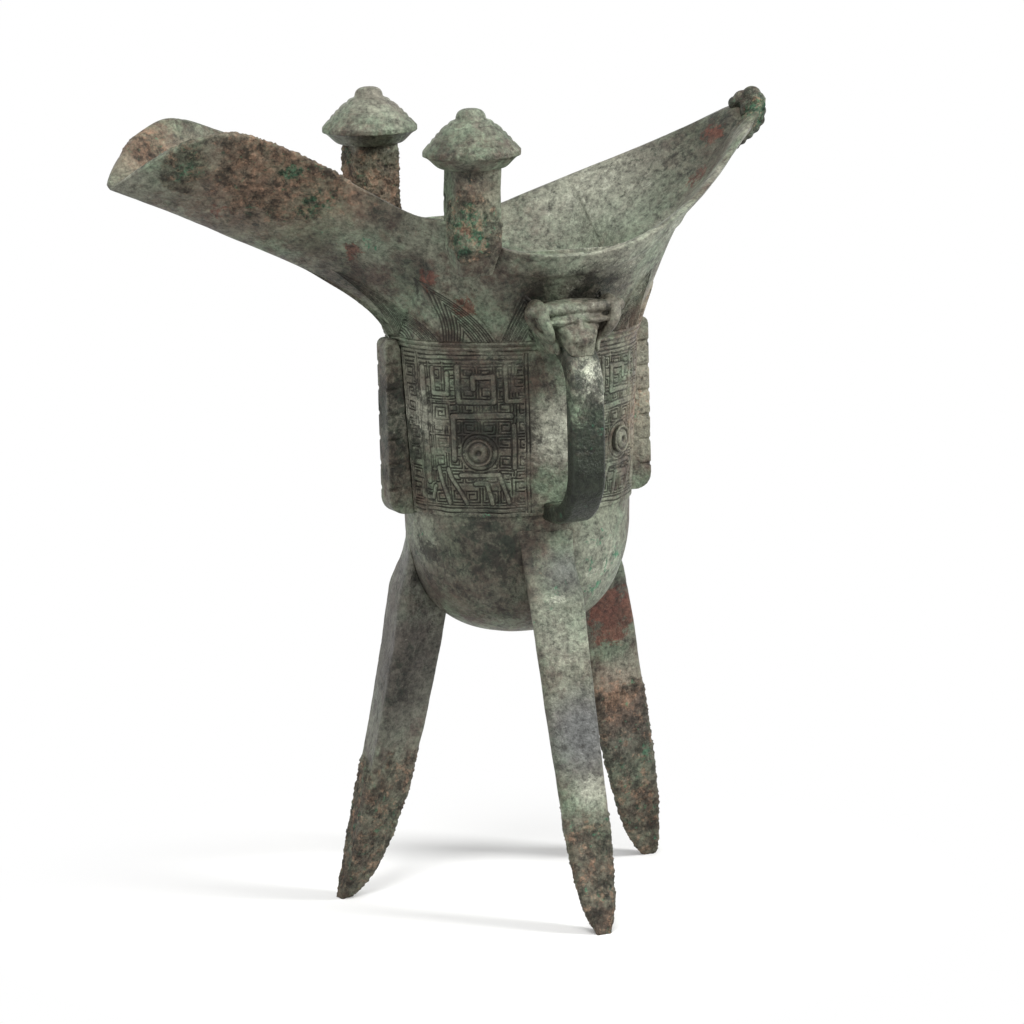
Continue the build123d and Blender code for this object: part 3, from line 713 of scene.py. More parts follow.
spout_keel_shares = ((0.0, 0.0), (0.05, 0.14), (0.13, 0.27), (0.25, 0.405), (0.39, 0.53),
                     (0.56, 0.665), (0.73, 0.80), (1.0, 1.0), (1.2, 1.14))
tail_keel_shares = ((0.0, 0.0), (0.05, 0.16), (0.12, 0.27), (0.22, 0.38), (0.38, 0.53),
                    (0.58, 0.70), (0.80, 0.86), (1.0, 1.0), (1.2, 1.14))
spout_width_shares = ((0.0, 0.955), (0.12, 0.895), (0.24, 0.76), (0.36, 0.62), (0.46, 0.545),
                      (0.60, 0.52), (0.80, 0.51), (1.2, 0.51))
tail_width_shares = ((0.0, 0.955), (0.20, 1.0), (0.36, 0.935), (0.52, 0.78), (0.68, 0.54),
                     (0.84, 0.29), (1.0, 0.08), (1.2, 0.04))
spout_flare_shares = ((0.0, 1.5), (0.20, 1.25), (0.32, 0.85), (0.45, 0.68), (1.2, 0.66))
tail_flare_shares = ((0.0, 1.5), (0.20, 1.35), (0.36, 1.15), (0.46, 1.08), (0.56, 0.90),
                     (0.70, 0.62), (1.2, 0.52))
rim_spout_place_shares = (1.012, 0.955, 0.875, 0.78, 0.66, 0.55, 0.435, 0.34, 0.265, 0.15)
rim_spout_rise_shares = (0.575, 0.745, 0.92, 1.0, 0.885, 0.71, 0.48, 0.315, 0.26, 0.055)
rim_tail_place_shares = (0.03, 0.19, 0.38, 0.58, 0.76, 0.92, 1.04)
rim_tail_rise_shares = (0.01, 0.075, 0.235, 0.45, 0.68, 0.905, 1.06)
rim_table = [(-spout_reach * p, rim_lowest_height + (spout_crest_height - rim_lowest_height) * r)
             for p, r in zip(rim_spout_place_shares, rim_spout_rise_shares)]
rim_table += [(tail_reach * p, rim_lowest_height + (tail_tip_height - rim_lowest_height) * r)
              for p, r in zip(rim_tail_place_shares, rim_tail_rise_shares)]


def smooth(table, at):
    """A table of two columns read along a smooth curve through its points, for an array of places."""
    xs, ys = np.array(table, dtype=float).T
    slope = np.empty(len(xs))
    slope[1:-1] = (ys[2:] - ys[:-2]) / (xs[2:] - xs[:-2])
    slope[0], slope[-1] = (ys[1] - ys[0]) / (xs[1] - xs[0]), (ys[-1] - ys[-2]) / (xs[-1] - xs[-2])
    at = np.clip(at, xs[0], xs[-1])
    row = np.clip(np.searchsorted(xs, at, side="right") - 1, 0, len(xs) - 2)
    step = xs[row + 1] - xs[row]
    part = (at - xs[row]) / step
    enter, leave, rise = slope[row] * step, slope[row + 1] * step, ys[row + 1] - ys[row]
    bend, twist = 3 * rise - 2 * enter - leave, enter + leave - 2 * rise
    return ys[row] + enter * part + bend * part ** 2 + twist * part ** 3


def side_of(x, spout_value, tail_value):
    """The spout's value where x is on its side, and the tail's elsewhere."""
    return np.where(x < 0, spout_value, tail_value)


def hull_law(x):
    """Keel height, lip height, neck half width, mouth half width and flare at stations x."""
    reach = side_of(x, spout_reach, tail_reach)
    share = np.abs(x) / reach
    mouth = mouth_half_width * side_of(x, smooth(spout_width_shares, share), smooth(tail_width_shares, share))
    flare = side_of(x, smooth(spout_flare_shares, share), smooth(tail_flare_shares, share))
    neck = bowl_width_share * np.sqrt(np.maximum(band_top_radius ** 2 - x ** 2, 0.0))
    out = np.maximum((np.abs(x) - band_top_radius) / (reach - band_top_radius), 0.0)
    climb = side_of(x, smooth(spout_keel_shares, out), smooth(tail_keel_shares, out))
    tip = side_of(x, spout_keel_tip_height, tail_keel_tip_height)
    keel = band_top_height + (tip - band_top_height) * climb
    depth = np.where(x < -spout_reach / 2, spout_lip_depth, tail_lip_depth)
    lip = np.maximum(smooth(rim_table, x), keel + depth)
    return keel, lip, neck, mouth, flare


print("rim heights at spout and tail in mm:", round(rim_table[0][1], 1), round(rim_table[-1][1], 1))

# %% [markdown]
# ## Two skins as grids
# A grid is the plainest way to such a skin: one column of points for each station along the
# vessel, and one row for each share of the height. The stations lie closer where the keel turns
# up beside the neck. The inner skin is the same grid with the wall's thickness taken off, and
# has fewer rows, because it carries no rim band.

# %% The hull's grids
# Where the stations change their spacing, and how far before the tail's point they end
tip_run, spout_turn, tail_turn, tail_stop = 6, -46, 44, 1.4
# Rows lie closer at the keel by this power, and a side is never lower than this share of its lip
row_power, least_share = 1.2, 0.015
# The tail narrows by this share over its end, and the rim band fades in behind the posts
tail_pinch, tail_pinch_run, band_fade = 0.8, 8, 6
# The wall is thicker by this inside the tail's point
tail_thickening = 2.2


def hull_stations():
    """Places along X: closer where the keel turns up beside the neck, and at the tips."""
    tip, edge = -spout_reach * 0.9975, band_top_radius
    runs = ((tip, tip + tip_run, 20), (tip + tip_run, spout_turn, 130), (spout_turn, -edge, 46))
    spout = [np.linspace(a, b, count, endpoint=False) for a, b, count in runs]
    middle = -edge * np.cos(np.linspace(0, math.pi, 150))
    runs = ((edge, tail_turn, 42), (tail_turn, tail_reach - tail_stop, 72))
    tail = [np.linspace(a, b, count)[1:] for a, b, count in runs]
    return np.concatenate(spout + [middle] + tail)


def hull_grid(x, rows, inset=0.0):
    """One side of the hull as a grid of points, its wall drawn in by an inset for each station."""
    keel, lip, neck, mouth, flare = hull_law(x)
    rim = np.minimum(smooth(rim_table, x), lip)
    inset = np.broadcast_to(np.asarray(inset, dtype=float), x.shape)
    floor = keel + inset * keel_slope_factor
    full = np.clip((rim - floor) / (lip - floor), least_share, 1.0)
    share = np.linspace(0, 1, rows)[None, :] ** row_power * full[:, None]
    half = neck[:, None] + (mouth - neck)[:, None] * share ** flare[:, None]
    half = half - inset[:, None] * np.minimum(1.0, half / (knee_factor * wall))
    half = half * (1 - tail_pinch * soft_step(x, tail_reach - tail_pinch_run, tail_reach + 1))[:, None]
    z = floor[:, None] + (lip - floor)[:, None] * share
    if not inset.any():
        under_rim = rim[:, None] - z
        width = rim_band_height * (1 - 0.5 * np.clip(x, 0, None) / tail_reach)[:, None]
        behind = soft_step(x, -post_setback, -post_setback + band_fade)[:, None]
        half = half + rim_band_proud * behind * (1 - soft_step(under_rim, width - 0.9, width + 0.3))
    return np.stack([np.broadcast_to(x[:, None], half.shape), half, z], axis=-1)


stations = hull_stations()
outer_rows, inner_rows = 78, 26
from_tip = stations - stations[0]
thin = wall * soft_step(from_tip, -3.0, 9.0)
thin = thin + tail_thickening * soft_step(stations, tail_reach - 12, tail_reach - 2)
outer_side = hull_grid(stations, outer_rows)
inner_x = stations - wall * knee_factor * soft_step(stations, 40.0, tail_reach)
inner_side = hull_grid(inner_x, inner_rows, thin)
print("hull grids", outer_side.shape, inner_side.shape)

# %% [markdown]
# ## One closed shell
# A casting has no open edges, so the four grids are joined: a rounded lip runs along each rim, a
# many-sided face closes the sheet at spout and tail, and the neck's foot is closed all round.

# %% The hull as one closed shell
def hull_shell():
    """Joins both sides, both skins, the lip, the two tips and the neck into one closed mesh."""
    columns = len(stations)
    flip = np.array((1.0, -1.0, 1.0))
    sheets = [outer_side * flip, outer_side, inner_side * flip, inner_side]
    lips = []
    for side in (0, 1):
        middle = (sheets[side][:, -1] + sheets[side + 2][:, -1]) / 2
        middle[:, 2] += 0.45 * soft_step(from_tip, 0.0, 6.0)
        lips.append(middle)
    points = np.concatenate([sheet.reshape(-1, 3) for sheet in sheets] + lips)
    starts = np.cumsum([0] + [columns * sheet.shape[1] for sheet in sheets])

    def at(sheet, column, row):
        """The number of a point in one of the four grids."""
        return int(starts[sheet] + column * sheets[sheet].shape[1] + row % sheets[sheet].shape[1])

    def lip(side, column):
        """The number of a point on one side's lip."""
        return int(starts[4]) + side * columns + column

    faces = []
    for sheet in range(4):
        for c in range(columns - 1):
            for r in range(sheets[sheet].shape[1] - 1):
                corners = ((c, r), (c + 1, r), (c + 1, r + 1), (c, r + 1))
                faces.append([at(sheet, *corner) for corner in corners])
    for side in (0, 1):
        for c in range(columns - 1):
            for sheet in (side, side + 2):
                faces.append((at(sheet, c, -1), at(sheet, c + 1, -1), lip(side, c + 1), lip(side, c)))
            if abs(stations[c] + stations[c + 1]) < 2 * band_top_radius:
                faces.append((at(side, c, 0), at(side, c + 1, 0), at(side + 2, c + 1, 0), at(side + 2, c, 0)))
        for c in (0, columns - 1):
            outside = [at(side, c, r) for r in range(outer_rows)]
            inside = [at(side + 2, c, r) for r in reversed(range(inner_rows))]
            faces.append(outside + [lip(side, c)] + inside)
    return mesh_object("hull", points, faces)


hull = hull_shell()
skinned(hull, swell=0.6, pit=0.12, crust=0.42)
finish_piece(hull, body_patina, ["vessel"])

# %% [markdown]
# ## The bowl
# The bowl is a turned form, slightly narrower from handle to back, so a profile is swung round
# the axis and squeezed. Under the decorated band it steps back, because the relief panels are
# separate pieces laid into that step.

# %% Bowl
panel_depth = 1.1


def band_radius(z):
    """The band's radius along X at a height."""
    middle = (band_bottom_height + band_top_height) / 2
    return np.interp(z, (band_bottom_height, middle, band_top_height),
                     (band_bottom_radius, band_middle_radius, band_top_radius))


def bowl_profile(inset, floor, count):
    """Radius and height from the middle of the bottom up to the band."""
    radius = band_bottom_radius - 0.5 - inset
    bottom = bowl_bottom_height + floor
    out = np.sin(np.linspace(0, math.pi / 2, count))
    up = smooth(bowl_profile_shares[1:], np.maximum(out, bowl_profile_shares[1][0]))
    up = up + bowl_profile_shares[0][1] * soft_step(out, bowl_profile_shares[1][0], 0.0)
    return np.stack([radius * out, bottom + (band_bottom_height - bottom) * up], axis=-1)


def ring_faces(first, rings, around):
    """Faces between rings of points that follow one another from a first point."""
    faces = []
    for low in range(first, first + (rings - 1) * around, around):
        for k in range(around):
            n = (k + 1) % around
            faces.append((low + k, low + n, low + around + n, low + around + k))
    return faces


def bowl_shell():
    """The bowl and the band's core as one closed shell."""
    outside = bowl_profile(0.0, 0.0, 70)
    core_z = np.linspace(band_bottom_height + 0.4, band_top_height + 0.3, 12)
    core = np.stack([band_radius(core_z) - panel_depth + 0.3, core_z], axis=-1)
    inside_z = np.linspace(band_top_height + 2.7, band_bottom_height + 1, 30)
    inside = np.stack([band_radius(inside_z) - wall, inside_z], axis=-1)
    inner = bowl_profile(wall, bowl_floor, 40)[::-1]
    profile = np.concatenate([outside, core, inside, inner])
    around = 240
    turn = np.linspace(0, 2 * math.pi, around, endpoint=False)
    points = [(r * math.cos(t), r * bowl_width_share * math.sin(t), z) for r, z in profile for t in turn]
    return mesh_object("bowl", points, ring_faces(0, len(profile), around))


bowl = bowl_shell()
skinned(bowl, swell=0.6, pit=0.12)
finish_piece(bowl, body_patina, [])

# %% [markdown]
# ## The taotie band
# Two monster masks wrap the band: one has the handle for its nose, the other the back flange.
# Each quarter of the band is the same half mask, mirrored. Its plain ribbons are brow, horns,
# jaw and quills; the ground between them is leiwen, the thunder pattern of small square
# spirals. We draw it as a map of heights over s, the way round from the flange in millimetres,
# and z, the height over the band's foot, and then bend that map round the vessel.

# %% Drawing the half mask
quarter_length = 46.1
band_height = band_top_height - band_bottom_height
groove_depth, groove_half_width = 0.42, 0.17
ribbon_rise = 0.07
leiwen_cell, leiwen_pitch = 4.4, 0.76
relief_start, bare_from = 3.3, 38.8
eye_turn, eye_height = 38.6, 119.5
eye_place = (quarter_length * (1 - eye_turn / 90), eye_height - band_bottom_height)

# Each ribbon: its width, then its corners as (s, z) in millimetres
ribbons = (
    (1.7, (11.2, 9.0), (11.2, 37.5)),
    (1.3, (19.6, 14.5), (19.6, 25.6), (34.2, 25.6)),
    (1.0, (34.9, 23.2), (34.9, 12.6)),
    (1.0, (21.2, 10.6), (31.0, 10.6), (33.4, 3.6)),
    (1.0, (17.6, 12.0), (18.4, 10.0), (22.4, 3.4)),
    (1.0, (14.6, 12.4), (15.4, 9.6), (17.4, 3.4)),
    (1.0, (25.0, 8.4), (27.8, 8.4), (29.0, 3.4)),
    (1.2, (21.6, 38.0), (21.6, 29.2), (30.4, 29.2), (30.4, 35.6), (25.4, 35.6), (25.4, 32.6)),
    (1.0, (33.4, 38.0), (33.4, 29.4), (37.2, 29.4)),
    (1.0, (4.6, 8.6), (8.4, 8.6), (8.4, 4.6), (12.4, 4.6), (13.4, 7.6)),
    (1.1, (14.4, 37.6), (14.4, 31.4), (18.8, 31.4), (18.8, 36.4)),
)
# Thin lines along the band's foot and top, and upright ones near both ends of the quarter
level_lines = (1.1, 2.2, band_height - 2.2, band_height - 1.1)
upright_lines = (4.0, 9.6, bare_from - 0.9, bare_from)
# The groove round an eye, the clear field that it lies in, and how unsteady the hand was
eye_groove, eye_field, unsteady = 4.6, 5.2, 0.5
# Larger square spirals: middle and half size
large_spirals = (
    (16.1, 26.3, 2.5), (36.6, 7.6, 2.3), (16.3, 18.6, 2.1), (36.4, 34.0, 1.9), (6.6, 15.0, 1.9),
    (6.6, 20.4, 1.9), (6.6, 31.0, 1.9),
)


def route_distance(s, z, route):
    """How far every point of the map lies from a route of straight strokes."""
    nearest = np.full(s.shape, quarter_length)
    for (s0, z0), (s1, z1) in zip(route, route[1:]):
        ds, dz = s1 - s0, z1 - z0
        part = np.clip(((s - s0) * ds + (z - z0) * dz) / (ds * ds + dz * dz), 0.0, 1.0)
        nearest = np.minimum(nearest, np.hypot(s - s0 - part * ds, z - z0 - part * dz))
    return nearest


def square_spiral(half, pitch):
    """The corners of a square spiral, from its outer corner inwards."""
    corners = [(-half, -half)]
    while half > pitch * 0.6:
        corners += [(-half, half), (half, half), (half, pitch - half), (pitch - half, pitch - half)]
        half -= pitch
    return corners


def groove(distance):
    """A rounded groove along a line, from how far each point lies from it."""
    return -groove_depth * (1 - soft_step(np.abs(distance), groove_half_width * 0.5, groove_half_width * 1.7))


def cloud(shape, cells, seed):
    """Smooth random numbers from zero to one on a map, for wear and unsteady lines."""
    grid = np.random.default_rng(seed).random((cells[0] + 2, cells[1] + 2))
    rows, columns = np.linspace(0, cells[0], shape[0]), np.linspace(0, cells[1], shape[1])
    r, c = rows.astype(int), columns.astype(int)
    u, v = soft_step(rows - r, 0, 1)[:, None], soft_step(columns - c, 0, 1)[None, :]
    low = grid[r][:, c] * (1 - v) + grid[r][:, c + 1] * v
    high = grid[r + 1][:, c] * (1 - v) + grid[r + 1][:, c + 1] * v
    return low * (1 - u) + high * u


def half_mask(s, z, seed):
    """Heights of the half mask over its quarter of the band, in millimetres from the band's face."""
    s = s + unsteady * (cloud(s.shape, (9, 8), seed) - 0.5)
    z = z + unsteady * (cloud(s.shape, (8, 9), seed + 1) - 0.5)
    cell_s, cell_z = np.floor(s / leiwen_cell), np.floor((z + 1.2) / leiwen_cell)
    local_s = (s - cell_s * leiwen_cell - leiwen_cell / 2) * np.where(cell_s % 2, -1, 1)
    local_z = (z + 1.2 - cell_z * leiwen_cell - leiwen_cell / 2) * np.where(cell_z % 2, -1, 1)
    height = groove(route_distance(local_s, local_z, square_spiral(leiwen_cell / 2 - 0.35, leiwen_pitch)))
    for middle_s, middle_z, half in large_spirals:
        inside = np.maximum(np.abs(s - middle_s), np.abs(z - middle_z)) < half + 0.5
        spiral = groove(route_distance(s - middle_s, z - middle_z, square_spiral(half, leiwen_pitch * 1.25)))
        height = np.where(inside, spiral, height)
    for width, *route in ribbons:
        away = route_distance(s, z, route)
        ribbon = ribbon_rise * (1 - soft_step(away, width * 0.4, width * 0.5))
        edge = groove(np.abs(away - width / 2 - groove_half_width))
        height = np.where(away < width / 2 + 2.2 * groove_half_width, ribbon + edge, height)
    from_eye = np.hypot(s - eye_place[0], z - eye_place[1])
    height = np.where(from_eye < eye_field, groove(np.abs(from_eye - eye_groove)), height)
    for line in level_lines:
        height = np.where(np.abs(z - line) < 0.55, groove(z - line), height)
    for line in upright_lines:
        height = np.where(np.abs(s - line) < 0.5, groove(s - line), height)
    plain_edge = (z < 0.7) | (z > band_height - 0.7) | (s > bare_from + 0.4) | (s < relief_start + 0.4)
    height = np.where(plain_edge, 0.0, height)
    wear = 0.45 + 0.55 * soft_step(cloud(s.shape, (14, 15), seed + 2), 0.15, 0.6)
    return height * wear


print("the band takes", len(ribbons), "ribbons and", len(large_spirals), "large spirals a quarter")

# %% [markdown]
# ## Bent round the band
# The map is flat, so each of its points is turned round the axis by its s and lifted by its z,
# and stands out by its height. A coarse sheet behind it and four edges close it to a slab. The
# heights go into the mesh as well, because the patina collects its dirt in the grooves.

# %% Bending it round the band
panel_columns, panel_rows = 296, 272


def grid_faces(first, rows, columns):
    """Faces of a grid of points that is stored row by row from a first point."""
    starts = [first + r * columns + c for r in range(rows - 1) for c in range(columns - 1)]
    return [(a, a + 1, a + columns + 1, a + columns) for a in starts]


def slab(name, outer, inner, dirt):
    """A closed slab: a fine front grid, a coarse back grid of as many columns, and four edges."""
    rows, columns = outer.shape[:2]
    back_rows, back = inner.shape[0], rows * columns
    faces = grid_faces(0, rows, columns) + grid_faces(back, back_rows, columns)
    for front, behind in ((0, back), ((rows - 1) * columns, back + (back_rows - 1) * columns)):
        faces += [(front + c, front + c + 1, behind + c + 1, behind + c) for c in range(columns - 1)]
    for c in (0, columns - 1):
        faces.append([r * columns + c for r in range(rows)]
                     + [back + r * columns + c for r in reversed(range(back_rows))])
    points = np.concatenate([outer.reshape(-1, 3), inner.reshape(-1, 3)])
    relief = np.concatenate([dirt.ravel(), np.zeros(back_rows * columns)])
    return mesh_object(name, points, faces, relief=relief)


def band_panel(name, start_turn, hand, seed, last):
    """A quarter of the band: it starts at a flange and runs with one hand towards the mask's nose."""
    s, z = np.meshgrid(np.linspace(relief_start, last, panel_columns),
                       np.linspace(0.05, band_height - 0.05, panel_rows))
    height = half_mask(s, z, seed)
    turn = np.radians(start_turn + hand * 90 * s / quarter_length)

    def bent(rise, rows):
        """Points of some rows of the map, bent round the axis and standing out by a rise."""
        radius = band_radius(z[rows] + band_bottom_height) + rise
        return np.stack([radius * np.sin(turn[rows]), -radius * bowl_width_share * np.cos(turn[rows]),
                         z[rows] + band_bottom_height], axis=-1)

    made = slab(name, bent(height, slice(None)), bent(-panel_depth - 0.4, [0, -1]), -height)
    skinned(made, swell=0.3, pit=0.10, crust=0.12)
    finish_piece(made, band_patina, [])


for number, (name, start_turn, hand, last) in enumerate((
        ("mask_near_spout_side", -90, 1, 46.12), ("mask_near_tail_side", 90, -1, 46.12),
        ("mask_back_tail_side", 90, 1, 42.6), ("mask_back_spout_side", 270, -1, 42.6))):
    band_panel(name, start_turn, hand, 10 * number, last)

# %% [markdown]
# ## The staring eyes
# Each mask stares with two round eyes: a dished ring, a low dome in it and a drilled pupil. One
# profile is swung round the eye's own axis and set on the band four times.

# %% Eyes
# Profile of an eye from its pupil out: radius, rise over the band, and how much dirt stays there
eye_profile = (
    (0.0, 0.45, 0.35), (0.5, 0.5, 0.35), (0.75, 0.85, 0.12), (1.0, 1.15, -0.06), (1.5, 1.2, -0.06),
    (2.0, 1.0, 0.0), (2.35, 0.6, 0.16), (2.6, 0.45, 0.30), (2.8, 0.62, 0.18), (3.0, 0.86, -0.04),
    (3.2, 0.9, -0.06), (3.4, 0.7, 0.04), (3.5, 0.3, 0.35), (3.55, -1.2, 0.35), (0.0, -1.2, 0.0),
)


def eyes():
    """All four eyes as one piece."""
    points, faces, dirt = [], [], []
    around = 56
    for azimuth in (-eye_turn, eye_turn, 180 - eye_turn, 180 + eye_turn):
        x = band_middle_radius * math.sin(math.radians(azimuth))
        y = -band_middle_radius * math.cos(math.radians(azimuth))
        out = Vector((x, y / bowl_width_share, 0)).normalized()
        side = Vector((0, 0, 1)).cross(out)
        middle = Vector((x, y * bowl_width_share, eye_height))
        faces += ring_faces(len(points), len(eye_profile), around)
        for radius, rise, dirty in eye_profile:
            dirt += [dirty] * around
            for k in range(around):
                a = 2 * math.pi * k / around
                up = Vector((0, 0, radius * math.sin(a)))
                points.append(middle + out * rise + side * radius * math.cos(a) + up)
    return mesh_object("staring_eyes", points, faces, relief=dirt)


staring_eyes = eyes()
finer = staring_eyes.modifiers.new("finer", "SUBSURF")
finer.levels = finer.render_levels = 2
skinned(plain(staring_eyes), swell=0.2, pit=0.12)
finish_piece(staring_eyes, eye_patina, ["mask_eyes"])

# %% [markdown]
# ## Blades on the neck
# Above the band, pointed blades rise up the neck like a ring of leaves, each drawn by ribbons and
# grooves nested in one another. They lie on a thin skin that follows the hull's own law. Where
# there is no blade the skin dives under the hull, so that only the leaves stand proud of it.

# %% Blades
neck_x = np.linspace(-spout_reach, tail_reach, 1600)
neck_keel = hull_law(neck_x)[0]
blade_half_width, blade_foot_height, blade_proud, hidden_depth = 12.4, 147.6, 0.44, 0.6
mm_per_degree = 0.58
# Points of the neck lie a hair inside its reach, by this share
hair_inside = 0.9995
# Grooves in from a blade's edge, in millimetres
blade_grooves = (0.7, 1.4, 2.1, 2.9, 3.6, 4.4, 5.1, 5.9)
# Turn of each blade in degrees from the handle's middle, and the height of its point
blade_places = (
    (-90, 166.0), (-65, 166.0), (-40, 164.0), (-14, 160.0), (14, 160.0), (40, 163.0), (65, 164.0),
    (90, 168.0), (116, 163.0), (141, 163.0), (167, 160.0), (193, 160.0), (219, 164.0), (244, 166.0),
)


def neck_surface(turn, z):
    """Points of the hull's law at turns in degrees from the handle and heights, both arrays."""
    spout, tail = neck_x < -band_top_radius, neck_x > band_top_radius
    reach = np.where(np.sin(np.radians(turn)) > 0, np.interp(z, neck_keel[tail], neck_x[tail]),
                     np.interp(z, neck_keel[spout][::-1], -neck_x[spout][::-1]))
    x = reach * np.sin(np.radians(turn)) * hair_inside
    keel, lip, neck, mouth, flare = hull_law(x)
    level = np.clip((z - keel) / (lip - keel), 0.0, 1.0)
    half = neck + (mouth - neck) * level ** flare
    return np.stack([x, np.where(np.cos(np.radians(turn)) > 0, -half, half), z], axis=-1)


def blade_heights(turn, z, seed):
    """Rise of the blades over the neck, in millimetres, with grooves nested in each."""
    z = z + 0.5 * (cloud(z.shape, (5, 40), seed) - 0.5)
    height = np.full(z.shape, -hidden_depth)
    for middle, point in blade_places:
        up = (z - blade_foot_height) / (point - blade_foot_height)
        inwards = (blade_half_width * (1 - up) - np.abs(turn - middle)) * mm_per_degree
        body = blade_proud * soft_step(up, 1.0, 0.75) + sum(groove(inwards - line) for line in blade_grooves)
        leaf = (inwards > -0.1) & (up > 0)
        height = np.where(leaf, body, height)
    return height


def blade_skin(name, first, last, columns, seed):
    """A thin skin over part of the neck that carries its blades."""
    turn, z = np.meshgrid(np.linspace(first, last, columns), np.linspace(band_top_height + 0.2, 171.0, 136))
    surface = neck_surface(turn, z)
    across, along = np.gradient(surface, axis=1), np.gradient(surface, axis=0)
    normal = np.cross(across, along)
    normal /= np.maximum(np.linalg.norm(normal, axis=-1, keepdims=True), 1e-9)
    normal *= np.sign(np.sum(normal[..., :2] * surface[..., :2], axis=-1, keepdims=True))
    height = blade_heights(turn, z, seed)
    dirt = np.where(height == -hidden_depth, 0.0, blade_proud - height)
    # The hidden back follows the same curve, but needs only every ninth row
    inner = (surface - normal * (hidden_depth + 0.4))[::9]
    made = slab(name, surface + normal * height[..., None], inner, dirt)
    skinned(made, swell=0.6, pit=0.1, crust=0.12)
    finish_piece(made, band_patina, [])


blade_skin("blades_near", -104, 104, 560, 71)
blade_skin("blades_back", 104, 256, 400, 72)

# %% [markdown]
# ## Raised beads at the neck's foot
# Two thin beads run round the vessel between band and blades. A Geometry Nodes tree walks each
# drawn route in even steps, lets it waver as a hand-cut line does, sweeps a small round section
# along it and gives it its metal.

# %% The thread tree
def thread_tree(material):
    """Builds the tree that turns drawn routes into raised metal threads."""
    tree, given = geometry_tree("cast_threads", ("Radius", "Step", "Waver"))
    walked = add(tree, "GeometryNodeResampleCurve", {"Curve": given["Geometry"], "Length": given["Step"]},
                 mode="LENGTH").outputs[0]
    noise = add(tree, "ShaderNodeTexNoise", {"Scale": 300.0, "Detail": 2.0}).outputs["Color"]
    centred = add(tree, "ShaderNodeVectorMath", {0: noise, 1: (0.5, 0.5, 0.5)},
                  operation="SUBTRACT").outputs[0]
    shift = add(tree, "ShaderNodeVectorMath", {0: centred, "Scale": given["Waver"]},
                operation="SCALE").outputs[0]
    wavered = add(tree, "GeometryNodeSetPosition", {"Geometry": walked, "Offset": shift}).outputs[0]
    section = add(tree, "GeometryNodeCurvePrimitiveCircle",
                  {"Resolution": 8, "Radius": given["Radius"]}).outputs[0]
    swept = add(tree, "GeometryNodeCurveToMesh", {"Curve": wavered, "Profile Curve": section,
                                                  "Fill Caps": True}).outputs[0]
    single = add(tree, "GeometryNodeRealizeInstances", {"Geometry": swept}).outputs[0]
    metal = add(tree, "GeometryNodeSetMaterial", {"Geometry": single, "Material": material}).outputs[0]
    add(tree, "NodeGroupOutput", {0: metal})
    return tree


cast_threads = thread_tree(band_patina)


def threads(name, routes, radius, material, waver=0.14):
    """Raised metal threads along routes given in millimetres, as one plain mesh."""
    curve = bpy.data.curves.new(name, "CURVE")
    curve.dimensions = "3D"
    for route in routes:
        spline = curve.splines.new("POLY")
        spline.points.add(len(route) - 1)
        for point, spot in zip(spline.points, to_frame(route)):
            point.co = (*spot, 1.0)
    drawn = placed(name + "_routes", curve)
    modifier = drawn.modifiers.new("threads", "NODES")
    modifier.node_group = cast_threads
    set_inputs(modifier, {"Radius": radius * MM, "Step": 0.35 * MM, "Waver": waver * MM})
    bpy.context.view_layer.update()
    mesh = bpy.data.meshes.new_from_object(drawn.evaluated_get(bpy.context.evaluated_depsgraph_get()))
    bpy.data.objects.remove(drawn)
    made = placed(name, mesh)
    mesh.shade_smooth()
    weather(made)
    finish_piece(made, material, [])
    return made


# %% [markdown]
# ## The two beads
# Each bead's route is a level line on the neck, read from the hull's own law at one height, and
# left open at the flanges of spout and tail.

# %% Beads
bead_heights, bead_radius = (145.7, 147.0), 0.42
bead_routes = []
for height in bead_heights:
    for first, last in ((-84, 84), (96, 264)):
        turns = np.linspace(first, last, 160)
        bead_routes.append(neck_surface(turns, np.full(turns.shape, height)))
threads("neck_beads", bead_routes, bead_radius, band_patina)

# %% [markdown]
# ## Floor and soft light
# A pale paper floor that keeps the contact shadows and turns into pure white further out, a
# white world behind it, and large soft boxes: one high in front, one on the right that glints on
# the handle, and a weak one on the left.

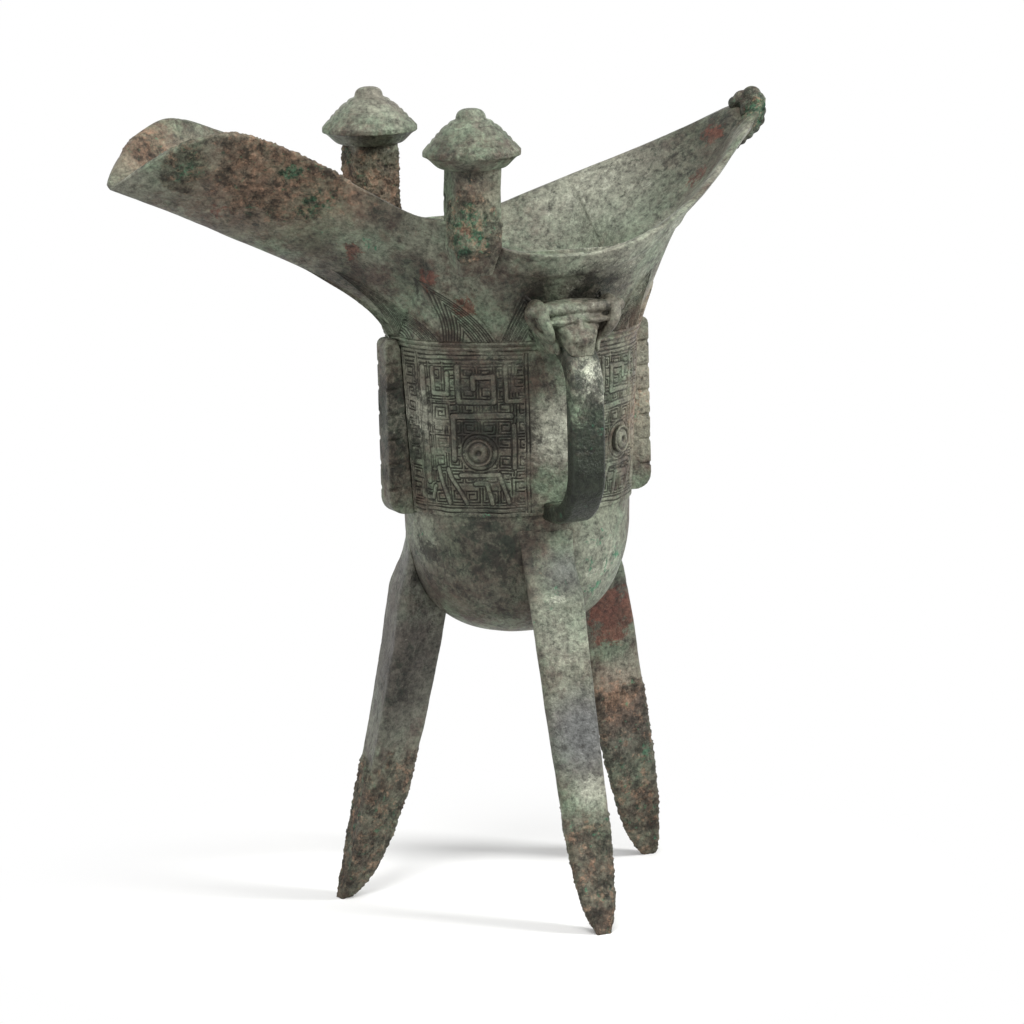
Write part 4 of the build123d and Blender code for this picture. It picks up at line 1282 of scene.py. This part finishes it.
# %% Studio
# In metres: half the floor, and where its paper starts and ends to turn into white
floor_half, paper_until, white_from = 3.0, 0.04, 0.13
floor_mesh = bpy.data.meshes.new("floor")
corners = [(x * floor_half, y * floor_half, 0) for x, y in ((-1, -1), (1, -1), (1, 1), (-1, 1))]
floor_mesh.from_pydata(corners, [], [(0, 1, 2, 3)])
floor = placed("floor", floor_mesh)
paper = bpy.data.materials.new("white_paper_sweep")
paper.use_nodes = True
sweep = paper.node_tree
sweep.nodes.clear()
floor_spot = add(sweep, "ShaderNodeTexCoord").outputs["Object"]
floor_reach = add(sweep, "ShaderNodeVectorMath", {0: floor_spot}, operation="LENGTH").outputs["Value"]
far = add(sweep, "ShaderNodeMapRange",
          {"Value": floor_reach, "From Min": paper_until, "From Max": white_from},
          interpolation_type="SMOOTHSTEP").outputs[0]
matt = add(sweep, "ShaderNodeBsdfPrincipled", {"Base Color": linear("f6f6f5"), "Roughness": 0.9}).outputs[0]
glow = add(sweep, "ShaderNodeEmission", {"Color": (1, 1, 1, 1), "Strength": 1.0}).outputs[0]
mixed = add(sweep, "ShaderNodeMixShader", {0: far, 1: matt, 2: glow}).outputs[0]
add(sweep, "ShaderNodeOutputMaterial", {"Surface": mixed})
floor_mesh.materials.append(paper)

world = bpy.data.worlds.new("studio")
world.use_nodes = True
bpy.context.scene.world = world
sky = world.node_tree
sky.nodes.clear()
light_path = add(sky, "ShaderNodeLightPath")
# The world is pure white where the camera sees it, also in a reflection, and lights less than that
seen = light_path.outputs["Is Camera Ray"]
for ray in ("Is Glossy Ray", "Is Transmission Ray"):
    seen = add(sky, "ShaderNodeMath", {0: seen, 1: light_path.outputs[ray]}, operation="MAXIMUM").outputs[0]
strength = add(sky, "ShaderNodeMapRange", {"Value": seen, "To Min": 0.45, "To Max": 1.0}).outputs[0]
background = add(sky, "ShaderNodeBackground", {"Color": (1, 1, 1, 1), "Strength": strength}).outputs[0]
add(sky, "ShaderNodeOutputWorld", {"Surface": background})


def soft_box(name, azimuth, elevation, distance, size, power):
    """A square area light aimed at the middle of the vessel, its place in degrees and metres."""
    lamp = placed(name, bpy.data.lights.new(name, "AREA"))
    lamp.data.shape, lamp.data.size, lamp.data.energy = "SQUARE", size, power
    a, e = math.radians(azimuth), math.radians(elevation)
    back = Vector((math.sin(a) * math.cos(e), -math.cos(a) * math.cos(e), math.sin(e)))
    lamp.location = Vector((0, 0, 0.12)) + back * distance
    lamp.rotation_euler = (-back).to_track_quat("-Z", "Y").to_euler()


# Turn and rise in degrees, distance and side in metres, power in watts
soft_box("key_box", -35, 55, 1.1, 0.5, 8.5)
soft_box("right_box", 48, 32, 1.0, 0.3, 9.5)
soft_box("left_box", -100, 25, 1.1, 0.6, 2.0)
print("area lights:", len(bpy.data.lights))
